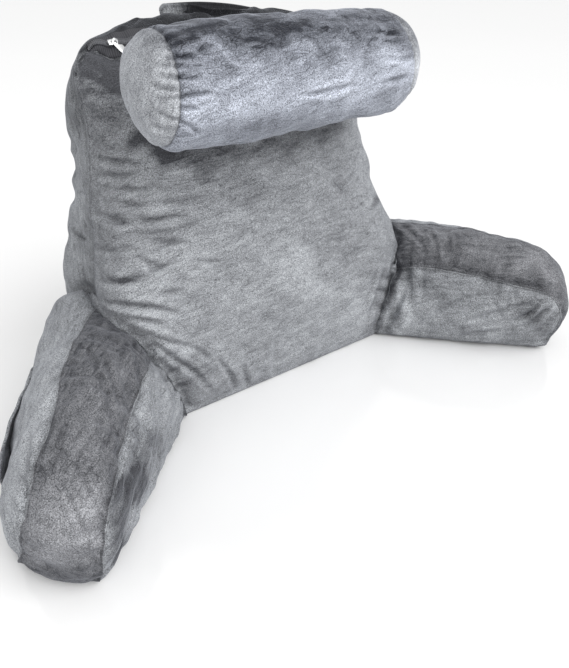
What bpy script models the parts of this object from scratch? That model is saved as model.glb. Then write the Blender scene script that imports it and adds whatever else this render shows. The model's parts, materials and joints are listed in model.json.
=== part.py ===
# A reading pillow with arms: a filled back cushion, two filled arms that splay
# forward from it, a neck roll, a strap loop, a side pocket and a zip.
# Metres, +Z up, +X to the right arm, -Y to the front.  The pillow stands on Z = 0.

import math

import bmesh
import bpy
import numpy as np
from mathutils import Matrix, Vector

# ---------------------------------------------------------------- sizes
GAP = 0.0003                # between pieces that are sewn or lean together
CENTRE_Y = -0.0153          # shifts the pattern so that the origin is under the middle

# back cushion
FRONT_HEIGHT = 0.489        # top seam of the front panel
REAR_HEIGHT = 0.500         # top seam of the rear panel
FRONT_CORNER = 0.036        # corner radius of the front panel
REAR_CORNER = 0.135         # corner radius of the rear panel
FRONT_SEAM_Y = 0.055        # front seam at the floor
FRONT_LEAN = 0.18           # how far the front seam leans back for each metre of height
TOP_CROWN = 0.026           # rise of the top between its two seams
TOP_SAG = 0.018             # dip of the front panel's top seam between its two corners
BACK_CUTS = (20, 8, 20)     # faces across, through and up

# seam and crown sizes at each height of the back cushion
BACK_ROWS = [
    dict(height=0.00, front_half=0.278, crown=0.058, square=11.0,
         rear_half=0.235, rear_y=0.215, rear_crown=0.016, side_bulge=0.018),
    dict(height=0.12, front_half=0.276, crown=0.082, square=11.0,
         rear_half=0.232, rear_y=0.220, rear_crown=0.028, side_bulge=0.042),
    dict(height=0.18, front_half=0.267, crown=0.083, square=8.5,
         rear_half=0.222, rear_y=0.223, rear_crown=0.030, side_bulge=0.046),
    dict(height=0.25, front_half=0.247, crown=0.079, square=6.0,
         rear_half=0.207, rear_y=0.225, rear_crown=0.030, side_bulge=0.038),
    dict(height=0.33, front_half=0.231, crown=0.078, square=4.0,
         rear_half=0.200, rear_y=0.224, rear_crown=0.027, side_bulge=0.018),
    dict(height=0.42, front_half=0.222, crown=0.080, square=3.2,
         rear_half=0.204, rear_y=0.219, rear_crown=0.020, side_bulge=0.018),
    dict(height=0.46, front_half=0.2195, crown=0.074, square=3.0,
         rear_half=0.204, rear_y=0.214, rear_crown=0.014, side_bulge=0.018),
    dict(height=0.50, front_half=0.217, crown=0.050, square=3.0,
         rear_half=0.203, rear_y=0.209, rear_crown=0.008, side_bulge=0.014),
]

# arms: each is drawn along its own axis, from the foot of its inner seam
ARM_SPLAY = math.radians(44.8)    # turned out from straight ahead
ARM_FOOT_X = 0.187                # foot of the inner seam, each side of the middle
ARM_CORNER = 0.80                 # share of each strip seam that runs along the top
ARM_CUTS = (14, 6, 8)             # faces along, across and up
INNER_BULGE = 0.016
STRIP_CROWN = 0.016
FRONT_CROWN = 0.020

INNER_SEAM = [
    dict(along=-0.070, out=0.036, up=0.118),
    dict(along=-0.020, out=0.034, up=0.121),
    dict(along=0.029, out=0.028, up=0.1234),
    dict(along=0.078, out=0.014, up=0.138),
    dict(along=0.153, out=0.003, up=0.1355),
    dict(along=0.220, out=-0.010, up=0.128),
    dict(along=0.273, out=-0.019, up=0.115),
    dict(along=0.301, out=-0.015, up=0.068),
    dict(along=0.299, out=0.005, up=0.0),
]
OUTER_SEAM = [
    dict(along=-0.070, out=0.112, up=0.160),
    dict(along=-0.030, out=0.116, up=0.170),
    dict(along=0.005, out=0.115, up=0.174),
    dict(along=0.072, out=0.1025, up=0.182),
    dict(along=0.160, out=0.0815, up=0.185),
    dict(along=0.212, out=0.0635, up=0.181),
    dict(along=0.275, out=0.052, up=0.168),
    dict(along=0.309, out=0.068, up=0.098),
    dict(along=0.287, out=0.109, up=0.0),
]
INNER_FLOOR = [
    dict(along=-0.070, out=0.020, up=0.0),
    dict(along=0.000, out=0.000, up=0.0),
    dict(along=0.080, out=-0.002, up=0.0),
    dict(along=0.160, out=-0.002, up=0.0),
    dict(along=0.240, out=0.000, up=0.0),
    dict(along=0.299, out=0.005, up=0.0),
]
OUTER_FLOOR = [
    dict(along=-0.070, out=0.140, up=0.0),
    dict(along=0.000, out=0.172, up=0.0),
    dict(along=0.080, out=0.168, up=0.0),
    dict(along=0.160, out=0.158, up=0.0),
    dict(along=0.240, out=0.138, up=0.0),
    dict(along=0.287, out=0.109, up=0.0),
]
OUTER_BULGE = [
    dict(share=0.00, bulge=0.010, lift=0.000),
    dict(share=0.20, bulge=0.072, lift=0.038),
    dict(share=0.35, bulge=0.062, lift=0.016),
    dict(share=0.52, bulge=0.052, lift=0.004),
    dict(share=0.66, bulge=0.040, lift=0.000),
    dict(share=0.80, bulge=0.028, lift=0.000),
    dict(share=0.92, bulge=0.020, lift=0.000),
    dict(share=1.00, bulge=0.000, lift=0.000),
]

# neck roll
ROLL_RADIUS = 0.0670
ROLL_SEAM = 0.157           # end-cap seams, each side of the middle
ROLL_DOME = 0.046           # how far the end caps swell out
ROLL_Y = 0.0025
ROLL_Z = 0.457
ROLL_STEPS = 28

# strap loop
STRAP_WIDTH = 0.020
STRAP_THICK = 0.0032
STRAP_LEFT = -0.066
STRAP_RIGHT = 0.088
STRAP_Y = 0.196
STRAP_OPEN = 0.030          # width over its two runs at the widest
STRAP_LEFT_TURN = 0.0080    # half width where it turns back on itself
STRAP_RIGHT_TURN = 0.0045   # half width where its ends are sewn down
STRAP_LEAN = 0.30           # sideways lean for each metre of rise
STRAP_STEPS = 44
STRAP_FOOT = 0.506          # lower edge of the strap at its left end
STRAP_DROP = 0.008          # how much lower it is sewn at its right end

# zip along the top, just behind the front panel
ZIP_COLUMNS = [
    dict(through=0.020, rise=0.0012),
    dict(through=0.105, rise=0.0012),
    dict(through=0.120, rise=0.0034),
    dict(through=0.180, rise=0.0034),
    dict(through=0.195, rise=0.0012),
    dict(through=0.310, rise=0.0012),
]
ZIP_SINK = 0.0010           # how far the tape's underside starts below the cloth
SLIDER_ACROSS = -0.81       # place of the slider along the zip
SLIDER_BODY = (0.012, 0.009, 0.0036)
PULL_SIZE = (0.0075, 0.025, 0.0016)
SLIDER_REST = 0.0038        # underside of the slider above the cloth

# side pocket, on the outer wall of the left arm
POCKET_SPAN = (0.38, 0.78)  # shares of the arm's length
POCKET_MOUTH = (0.69, 0.47) # height share of the mouth at its rear and front ends
POCKET_FOOT = 0.08
POCKET_CUTS = (12, 6)
POCKET_THICK = 0.0022
POCKET_SINK = 0.0012        # sewn edges start this far inside the arm and are cut back
POCKET_GAPE = 0.0100        # widest gap at the mouth, near its front end


# ---------------------------------------------------------------- curves and maps
def smooth_step(x, low, high):
    t = np.clip((x - low) / (high - low), 0.0, 1.0)
    return t * t * (3.0 - 2.0 * t)


def hermite(stations, values, at):
    """Smooth curve through the values, which keeps close to the polyline."""
    slope = np.gradient(values, stations)
    i = np.clip(np.searchsorted(stations, at) - 1, 0, len(stations) - 2)
    step = stations[i + 1] - stations[i]
    t = (np.clip(at, stations[0], stations[-1]) - stations[i]) / step
    return ((2 * t**3 - 3 * t**2 + 1) * values[i] + (t**3 - 2 * t**2 + t) * step * slope[i]
            + (3 * t**2 - 2 * t**3) * values[i + 1] + (t**3 - t**2) * step * slope[i + 1])


def column(rows, key, name, at):
    stations = np.array([row[key] for row in rows])
    return hermite(stations, np.array([row[name] for row in rows]), at)


def rail(rows, share):
    """Points at shares of the length of a seam, as (along, out, up)."""
    points = np.array([(row["along"], row["out"], row["up"]) for row in rows])
    length = np.concatenate([[0.0], np.cumsum(np.linalg.norm(np.diff(points, axis=0), axis=1))])
    length /= length[-1]
    return np.stack([hermite(length, points[:, k], share) for k in range(3)], axis=1)


def back_point(across, through, up):
    """A point of the back cushion from shares: across -1..1, through and up 0..1."""
    def seam_half(height):
        front = column(BACK_ROWS, "height", "front_half", height)
        rear = column(BACK_ROWS, "height", "rear_half", height)
        return front * (1 - through) + rear * through

    top = FRONT_HEIGHT * (1 - through) + REAR_HEIGHT * through
    corner = FRONT_CORNER + (REAR_CORNER - FRONT_CORNER) * through**0.5
    half = seam_half(top)
    past = np.clip(np.abs(across) * (half - 0.2929 * corner) - (half - corner), 0.0, None)
    z = up * (top - corner + np.sqrt(corner**2 - past**2))
    past = np.clip(z - (top - corner), 0.0, 0.7072 * corner)
    x = across * (seam_half(z) - corner + np.sqrt(corner**2 - past**2))
    bulge = column(BACK_ROWS, "height", "side_bulge", z)
    x = x + np.sign(across) * bulge * np.sin(np.pi * through**2)**0.9 * np.abs(across)**8

    square = column(BACK_ROWS, "height", "square", z)
    rounding = np.clip(1 - np.abs(across)**square, 0, 1)**(0.5 + 0.25 * smooth_step(z, 0.15, 0.40))
    crown = column(BACK_ROWS, "height", "crown", z) * rounding * np.sqrt(np.clip(1 - up**14, 0, 1))
    front = FRONT_SEAM_Y + FRONT_LEAN * z - crown
    rear = (column(BACK_ROWS, "height", "rear_y", z)
            + column(BACK_ROWS, "height", "rear_crown", z) * (1 - across**2) * (1 - up**6))
    y = front * (1 - through) + rear * through
    z = z + TOP_CROWN * np.sin(np.pi * through)**0.8 * up**14 * (1 - 0.60 * across**2)
    z = z - TOP_SAG * smooth_step(-np.abs(across), -0.95, -0.78) * (1 - through)**2 * up**8
    return np.stack([x, y + CENTRE_Y, z], axis=1)


def arm_wall(seam, floor, share, up):
    """One side wall: a patch between its strip seam, the floor line, the root and the front."""
    top = rail(seam, ARM_CORNER * share)
    front = rail(seam, ARM_CORNER + (1 - ARM_CORNER) * (1 - up))
    foot = rail(floor, share)
    ends = rail(seam, np.array([0.0, ARM_CORNER]))
    feet = rail(floor, np.array([0.0, 1.0]))
    a = share[:, None]
    h = up[:, None]
    root = feet[0] * (1 - h) + ends[0] * h
    corners = ((1 - a) * (1 - h) * feet[0] + a * (1 - h) * feet[1]
               + (1 - a) * h * ends[0] + a * h * ends[1])
    return (1 - h) * foot + h * top + (1 - a) * root + a * front - corners


def arm_point(share, across, up, side):
    """A point of an arm from shares along, across (inner to outer) and up."""
    swell = np.sin(np.pi * np.clip(up, 0, 1))**0.55
    inner = arm_wall(INNER_SEAM, INNER_FLOOR, share, up)
    inner[:, 1] -= INNER_BULGE * swell * (1 - share**6)**0.7
    outer = arm_wall(OUTER_SEAM, OUTER_FLOOR, share, up)
    outer[:, 1] += column(OUTER_BULGE, "share", "bulge", share) * swell
    outer[:, 2] += column(OUTER_BULGE, "share", "lift", share) * swell * up**2
    v = across[:, None]
    point = inner * (1 - v) + outer * v
    ridge = np.sin(np.pi * across)**0.8
    nose = smooth_step(share, 0.75, 1.0)
    lift = STRIP_CROWN * ridge * up**8 * (1 - nose)
    push = FRONT_CROWN * ridge * share**8 * np.sqrt(np.clip(up, 0, 1)) * nose
    point[:, 0] += push * (0.35 + 0.65 * np.cos(np.pi / 2 * up))
    point[:, 1] -= 0.50 * lift + 0.35 * push * up
    point[:, 2] += 0.87 * lift + 0.65 * push * up
    x = ARM_FOOT_X + math.sin(ARM_SPLAY) * point[:, 0] + math.cos(ARM_SPLAY) * point[:, 1]
    y = -math.cos(ARM_SPLAY) * point[:, 0] + math.sin(ARM_SPLAY) * point[:, 1]
    return np.stack([side * x, y + CENTRE_Y, point[:, 2]], axis=1)


def normals(surface, u, v, step=1e-3):
    """Unit normals of a surface given by two shares."""
    du = surface(u + step, v) - surface(u - step, v)
    dv = surface(u, v + step) - surface(u, v - step)
    n = np.cross(du, dv)
    return n / np.linalg.norm(n, axis=1)[:, None]


# ---------------------------------------------------------------- objects
def clear_scene():
    for thing in list(bpy.data.objects):
        bpy.data.objects.remove(thing, do_unlink=True)


def new_collection(name):
    group = bpy.data.collections.new(name)
    bpy.context.scene.collection.children.link(group)
    return group


def material(name, colour, roughness, metallic=0.0, sheen=0.0):
    made = bpy.data.materials.new(name)
    made.use_nodes = True
    shader = made.node_tree.nodes["Principled BSDF"]
    shader.inputs["Base Color"].default_value = (*colour, 1.0)
    shader.inputs["Roughness"].default_value = roughness
    shader.inputs["Metallic"].default_value = metallic
    shader.inputs["Sheen Weight"].default_value = sheen
    made.diffuse_color = (*colour, 1.0)
    return made


def add_object(name, bm, group, finish, smooth_angle=40.0):
    mesh = bpy.data.meshes.new(name)
    bmesh.ops.recalc_face_normals(bm, faces=bm.faces)
    bm.to_mesh(mesh)
    bm.free()
    mesh.shade_smooth()
    mesh.set_sharp_from_angle(angle=math.radians(smooth_angle))
    if finish:
        mesh.materials.append(finish)
    made = bpy.data.objects.new(name, mesh)
    group.objects.link(made)
    return made


def split_to_triangles(bm):
    """Fixes the diagonals, so that a piece and the cutter grown from it share their faces."""
    bmesh.ops.recalc_face_normals(bm, faces=bm.faces)
    bmesh.ops.triangulate(bm, faces=bm.faces)
    return bm


def block(cuts):
    """A unit block, 0..1 each way, with its faces cut into a grid."""
    bm = bmesh.new()
    bmesh.ops.create_cube(bm, size=1.0)
    bmesh.ops.translate(bm, verts=bm.verts, vec=(0.5, 0.5, 0.5))
    for axis, count in enumerate(cuts):
        running = [e for e in bm.edges
                   if abs(e.verts[0].co[axis] - e.verts[1].co[axis]) > 0.5]
        bmesh.ops.subdivide_edges(bm, edges=running, cuts=count - 1, use_grid_fill=True)
    return bm


def shape(bm, place):
    """Moves every corner of the block to where the map puts its shares."""
    shares = np.array([v.co[:] for v in bm.verts])
    for vert, point in zip(bm.verts, place(shares[:, 0], shares[:, 1], shares[:, 2])):
        vert.co = point
    return split_to_triangles(bm)


def grow(bm, distance):
    """Moves each face outwards by the distance."""
    bm.normal_update()
    moves = [v.normal * distance * v.calc_shell_factor() for v in bm.verts]
    for vert, move in zip(bm.verts, moves):
        vert.co += move
    return bm


def cut_by(piece, cutter):
    fit = piece.modifiers.new("fit_against_" + cutter.name, "BOOLEAN")
    fit.operation = "DIFFERENCE"
    fit.solver = "EXACT"
    fit.object = cutter


def add_cutter(name, bm, group):
    cutter = add_object(name, bm, group, None)
    cutter.hide_render = True
    cutter.display_type = "WIRE"
    return cutter


# ---------------------------------------------------------------- pieces
def back_block():
    return shape(block(BACK_CUTS), lambda a, b, c: back_point(2 * a - 1, b, c))


def arm_block(side):
    return shape(block(ARM_CUTS), lambda a, b, c: arm_point(a, b, c, side))


def make_arm(name, side, back_cutter, group, finish):
    arm = add_object(name, arm_block(side), group, finish)
    cut_by(arm, back_cutter)
    return arm


def make_neck_roll(back_cutter, group, finish):
    """A turned bolster: its cover is gathered a little at the two end-cap seams."""
    bm = bmesh.new()
    cap = [(-ROLL_SEAM - ROLL_DOME * math.cos(a), 0.95 * ROLL_RADIUS * math.sin(a)**0.9)
           for a in np.linspace(0.0, math.pi / 2, 6)]
    run = [(x, ROLL_RADIUS * (1 - 0.05 * (abs(x) / ROLL_SEAM)**4))
           for x in np.linspace(-ROLL_SEAM, ROLL_SEAM, 11)[1:-1]]
    profile = cap + run + [(-x, r) for x, r in reversed(cap)]
    corners = [bm.verts.new((x, 0.0, max(r, 0.0))) for x, r in profile]
    for first, second in zip(corners, corners[1:]):
        bm.edges.new((first, second))
    roll = add_object("neck_roll", bm, group, finish)
    roll.location = (0.0, ROLL_Y + CENTRE_Y, ROLL_Z)
    turn = roll.modifiers.new("turn", "SCREW")
    turn.axis = "X"
    turn.steps = ROLL_STEPS
    turn.render_steps = ROLL_STEPS
    turn.use_merge_vertices = True
    turn.merge_threshold = 0.0001
    turn.use_normal_calculate = True
    cut_by(roll, back_cutter)
    return roll


def strap_outline(inset):
    """Plan outline of the strap loop and the height of its foot; with an inset, its inner face."""
    angle = 2 * np.pi * (np.arange(STRAP_STEPS) + 0.5) / STRAP_STEPS
    share = 0.5 - 0.5 * np.cos(angle)                  # 0 at the left end, 1 at the right
    left, right = STRAP_LEFT + inset, STRAP_RIGHT - 2 * inset
    end = STRAP_RIGHT_TURN + (STRAP_LEFT_TURN - STRAP_RIGHT_TURN) * (1 - share)
    belly = (0.5 * STRAP_OPEN - end) * np.sin(np.pi * share**0.85)**1.3
    half = (end - inset) * np.abs(np.sin(angle))**0.4 + belly
    foot = STRAP_FOOT - STRAP_DROP * share**2
    return left + (right - left) * share, STRAP_Y - np.sign(np.sin(angle)) * half + CENTRE_Y, foot


def make_strap(back_cutter, group, finish):
    """A loop of doubled cloth that stands on its edge on the top of the cushion."""
    outer, inner = strap_outline(0.0), strap_outline(STRAP_THICK)
    bm = bmesh.new()
    rings = []
    for k in range(STRAP_STEPS):
        ring = []
        for (x, y, z), rise in ((outer, 0.0), (inner, 0.0), (inner, STRAP_WIDTH), (outer, STRAP_WIDTH)):
            ring.append(bm.verts.new((x[k], y[k] + STRAP_LEAN * rise, z[k] + rise)))
        rings.append(ring)
    for ring, following in zip(rings, rings[1:] + rings[:1]):
        for j in range(4):
            bm.faces.new((ring[j], following[j], following[(j + 1) % 4], ring[(j + 1) % 4]))
    strap = add_object("carry_handle", split_to_triangles(bm), group, finish)
    cut_by(strap, back_cutter)
    return strap


def skin(rows_out, rows_in):
    """A closed sheet between two grids of points of the same size."""
    bm = bmesh.new()
    outer = [[bm.verts.new(p) for p in row] for row in rows_out]
    inner = [[bm.verts.new(p) for p in row] for row in rows_in]
    last_row, last = len(outer) - 1, len(outer[0]) - 1
    for i in range(last_row):
        for j in range(last):
            bm.faces.new((outer[i][j], outer[i][j + 1], outer[i + 1][j + 1], outer[i + 1][j]))
            bm.faces.new((inner[i][j], inner[i + 1][j], inner[i + 1][j + 1], inner[i][j + 1]))
    for i in range(last_row):
        for j in (0, last):
            bm.faces.new((outer[i][j], outer[i + 1][j], inner[i + 1][j], inner[i][j]))
    for j in range(last):
        for i in (0, last_row):
            bm.faces.new((outer[i][j], outer[i][j + 1], inner[i][j + 1], inner[i][j]))
    return split_to_triangles(bm)


def top_surface(across, through):
    return back_point(across, through, np.ones_like(across))


def make_zip(back_cutter, group, finish):
    """Tape and closed chain, on the same facets as the top of the cushion."""
    through = np.array([c["through"] for c in ZIP_COLUMNS])
    rise = np.array([c["rise"] for c in ZIP_COLUMNS])[:, None]
    upper, lower = [], []
    for k in range(BACK_CUTS[0] + 1):
        across = np.full(len(through), 2.0 * k / BACK_CUTS[0] - 1.0)
        ground = top_surface(across, through)
        out = normals(top_surface, across, through)
        upper.append(ground + out * rise)
        lower.append(ground - out * ZIP_SINK)
    tape = add_object("zip_tape", skin(upper, lower), group, finish)
    cut_by(tape, back_cutter)
    return tape


def make_slider(group, cutters, finish):
    """Slider body with its pull laid forwards across the tape."""
    through = 0.5 * (ZIP_COLUMNS[2]["through"] + ZIP_COLUMNS[3]["through"])
    share = (np.array([SLIDER_ACROSS]), np.array([through]))
    foot = top_surface(*share)[0]
    out = Vector(normals(top_surface, *share)[0])
    along = Vector(top_surface(share[0] + 0.01, share[1])[0] - foot).normalized()
    back = out.cross(along).normalized()
    place = Matrix((along, back, out)).transposed().to_4x4()
    place.translation = Vector(foot) + out * SLIDER_REST

    def plate(name, size, centre, where):
        bm = bmesh.new()
        bmesh.ops.create_cube(bm, size=1.0)
        bmesh.ops.scale(bm, verts=bm.verts, vec=size)
        bmesh.ops.translate(bm, verts=bm.verts, vec=centre)
        bmesh.ops.bevel(bm, geom=bm.edges[:], offset=0.28 * min(size), segments=2,
                        affect="EDGES", profile=0.5)
        made = add_object(name, bm, where, finish)
        made.matrix_world = place
        return made

    body = plate("zip_slider", SLIDER_BODY, (0.0, 0.0, SLIDER_BODY[2] / 2), group)
    pull_y = -0.5 * PULL_SIZE[1] + 0.25 * SLIDER_BODY[1]
    pull = plate("slider_pull", PULL_SIZE, (0.0, pull_y, SLIDER_BODY[2]), cutters)
    pull.hide_render = True
    pull.display_type = "WIRE"
    weld = body.modifiers.new("pull", "BOOLEAN")
    weld.operation = "UNION"
    weld.solver = "EXACT"
    weld.object = pull
    return body


def pocket_surface(share, up):
    return arm_point(share, np.ones_like(share), up, -1)


def make_pocket(arm_cutter, group, finish):
    """A sheet sewn to the arm on three edges; its slanted mouth stands a little open."""
    upper, lower = [], []
    for k in range(POCKET_CUTS[1] + 1):
        rise = k / POCKET_CUTS[1]
        along = np.linspace(0.0, 1.0, POCKET_CUTS[0] + 1)
        share = POCKET_SPAN[0] + (POCKET_SPAN[1] - POCKET_SPAN[0]) * along
        mouth = POCKET_MOUTH[0] + (POCKET_MOUTH[1] - POCKET_MOUTH[0]) * along
        up = POCKET_FOOT + (mouth - POCKET_FOOT) * rise
        ground = pocket_surface(share, up)
        out = normals(pocket_surface, share, up)
        gape = (POCKET_GAPE + POCKET_SINK) * np.sin(np.pi * along**2.8)**0.8 * rise**1.2
        lower.append(ground + out * (gape - POCKET_SINK)[:, None])
        upper.append(ground + out * (gape - POCKET_SINK + POCKET_THICK)[:, None])
    pocket = add_object("side_pocket", skin(upper, lower), group, finish)
    cut_by(pocket, arm_cutter)
    return pocket


def main():
    clear_scene()
    group = new_collection("reading_pillow")
    cutters = new_collection("cutters")
    plush = material("grey_velvet_plush", (0.195, 0.200, 0.212), 0.85, sheen=0.6)
    roll_plush = material("silver_grey_velvet_plush", (0.30, 0.31, 0.34), 0.80, sheen=0.6)
    tape_cloth = material("dark_grey_zip_tape", (0.045, 0.045, 0.050), 0.90)
    nickel = material("polished_nickel", (0.80, 0.80, 0.80), 0.18, metallic=1.0)

    add_object("back_cushion", back_block(), group, plush)
    back_cutter = add_cutter("back_with_gap", grow(back_block(), GAP), cutters)
    arm_cutter = add_cutter("arm_with_gap", grow(arm_block(-1), GAP), cutters)
    make_arm("arm_left", -1, back_cutter, group, plush)
    make_arm("arm_right", 1, back_cutter, group, plush)
    make_neck_roll(back_cutter, group, roll_plush)
    make_strap(back_cutter, group, plush)
    make_pocket(arm_cutter, group, plush)
    make_zip(back_cutter, group, tape_cloth)
    make_slider(group, cutters, nickel)


main()
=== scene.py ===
import json
import math
import time

import bmesh
import bpy
import numpy as np
from mathutils import Matrix, Vector
from mathutils.bvhtree import BVHTree
from mathutils.kdtree import KDTree

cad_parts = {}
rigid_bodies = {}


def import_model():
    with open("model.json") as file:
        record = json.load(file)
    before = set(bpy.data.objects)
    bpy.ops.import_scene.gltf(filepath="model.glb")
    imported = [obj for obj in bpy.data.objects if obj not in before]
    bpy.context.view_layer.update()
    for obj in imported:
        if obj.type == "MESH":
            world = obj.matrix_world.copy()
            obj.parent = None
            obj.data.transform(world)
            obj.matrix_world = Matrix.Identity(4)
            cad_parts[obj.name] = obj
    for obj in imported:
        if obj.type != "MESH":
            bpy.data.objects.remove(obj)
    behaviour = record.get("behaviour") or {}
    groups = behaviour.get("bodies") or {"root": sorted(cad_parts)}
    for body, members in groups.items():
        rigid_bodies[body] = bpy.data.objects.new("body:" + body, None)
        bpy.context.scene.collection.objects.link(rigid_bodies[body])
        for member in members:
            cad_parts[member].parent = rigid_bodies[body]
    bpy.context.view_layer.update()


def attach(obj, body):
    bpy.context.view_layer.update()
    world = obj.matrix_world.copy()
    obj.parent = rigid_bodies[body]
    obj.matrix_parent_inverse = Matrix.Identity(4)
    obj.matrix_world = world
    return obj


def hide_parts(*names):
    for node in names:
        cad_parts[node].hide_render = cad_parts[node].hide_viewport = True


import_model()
scene = bpy.context.scene
scene.view_settings.view_transform = "Standard"
started = time.time()


def report(words):
    print(f"{time.time() - started:5.1f} s  {words}")


def addObject(name, data):
    made = bpy.data.objects.new(name, data)
    scene.collection.objects.link(made)
    return made


# the camera stands to the left of the sitter's knees and looks down at the neck roll
camera = {
    "place": (-0.4510, -0.6723, 0.5940),
    "azimuth": -35.235,      # degrees, as are the next two
    "elevation": 34.170,
    "roll": -0.327,
    "focalPixels": 593.53,
    "centre": (294.51, 344.73),
    "pixels": (569, 668),
    "sensor": 36.0,          # mm
}


def cameraAxes():
    azimuth, elevation, roll = (math.radians(camera[k]) for k in ("azimuth", "elevation", "roll"))
    away = Vector((math.sin(azimuth) * math.cos(elevation),
                   -math.cos(azimuth) * math.cos(elevation), math.sin(elevation)))
    right = (-away).cross(Vector((0, 0, 1))).normalized()
    up = right.cross(-away)
    return (math.cos(roll) * right + math.sin(roll) * up,
            math.cos(roll) * up - math.sin(roll) * right, away)


def placeOf(axes, origin):
    # where a thing with these axes stands
    place = Matrix(axes).transposed().to_4x4()
    place.translation = Vector(origin)
    return place


def makeCamera():
    lens = bpy.data.cameras.new("camera")
    width, height = camera["pixels"]
    lens.sensor_width = camera["sensor"]
    lens.lens = camera["focalPixels"] * camera["sensor"] / height
    lens.shift_x = -(camera["centre"][0] - width / 2) / height
    lens.shift_y = (camera["centre"][1] - height / 2) / height
    lens.clip_end = 50.0
    scene.camera = addObject("camera", lens)
    scene.camera.matrix_world = placeOf(cameraAxes(), camera["place"])


def pictured(points):
    # where points fall in the camera's view, in pixels
    right, up, away = (np.array(axis) for axis in cameraAxes())
    ray = points - np.array(camera["place"])
    scale = -camera["focalPixels"] / (ray @ away)
    return np.stack([camera["centre"][0] + scale * (ray @ right),
                     camera["centre"][1] - scale * (ray @ up)], axis=1)


def linear(hexColour):
    channels = [int(hexColour[k:k + 2], 16) / 255 for k in (1, 3, 5)]
    return tuple(c / 12.92 if c <= 0.04045 else ((c + 0.055) / 1.055) ** 2.4
                 for c in channels) + (1.0,)


def addNode(tree, kind, links=None, **settings):
    # one node with its settings; a link's value is a socket to join or a plain value
    node = tree.nodes.new(kind)
    for name, value in settings.items():
        setattr(node, name, value)
    for socket, source in (links or {}).items():
        if isinstance(source, bpy.types.NodeSocket):
            tree.links.new(source, node.inputs[socket])
        else:
            node.inputs[socket].default_value = source
    return node


def startMaterial(name, sockets):
    # a new material with its tree and its shader, whose sockets get their constants here
    made = bpy.data.materials.new(name)
    made.use_nodes = True
    shader = made.node_tree.nodes["Principled BSDF"]
    for socket, value in sockets.items():
        shader.inputs[socket].default_value = value
    return made, made.node_tree, shader


def perMetre(millimetres):
    # noise scale that gives marks of about this size
    return 1000.0 / millimetres


makeCamera()

# Velvet plush: a knitted polyester ground with a short cut pile that lies one way.
# The pile gives a soft sheen at grazing angles, a fine tufted grain, and light and dark
# marks wherever a hand has turned it; painted light and shade share the same tone:
# highlights on slopes and seam ridges, shade in creases and beside seams, shadow under the roll.
plush = {
    "tuft": 1.00,            # mm, tufts drawn coarse enough to show; single fibres are finer
    "crinkle": 5.0,          # mm, small creases of the pile
    "hairline": 11.0,        # mm, spacing of the thin lines where the pile parts
    "hairlineWidth": 0.028,  # share of that spacing
    "hairlineDrawn": 0.26,   # how far they are drawn out: 0 endless, 1 not at all
    "hairlineDepth": 0.0006,
    "brushMark": 8.0,        # mm, width of a hand's stroke
    "brushDrawn": 0.13,
    "brushDepth": 0.0020,
    "patch": 90.0,           # mm, areas whose pile lies the other way
    "grain": 4.16,           # how much a tuft lightens or darkens the cloth
    "tuftDepth": 0.0006,
    "brushShare": 0.62,      # how much each of these tips the pile between dark and light
    "patchShare": 0.24,
    "crinkleShare": 0.28,
    "hairlineShare": 0.15,
    "roughness": (0.74, 0.95),
    "seamLine": (0.2, 1.1, 3.0),  # mm from the seam: its ridge with painted highlight, the groove with painted shade, and where that shade ends
}


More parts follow.
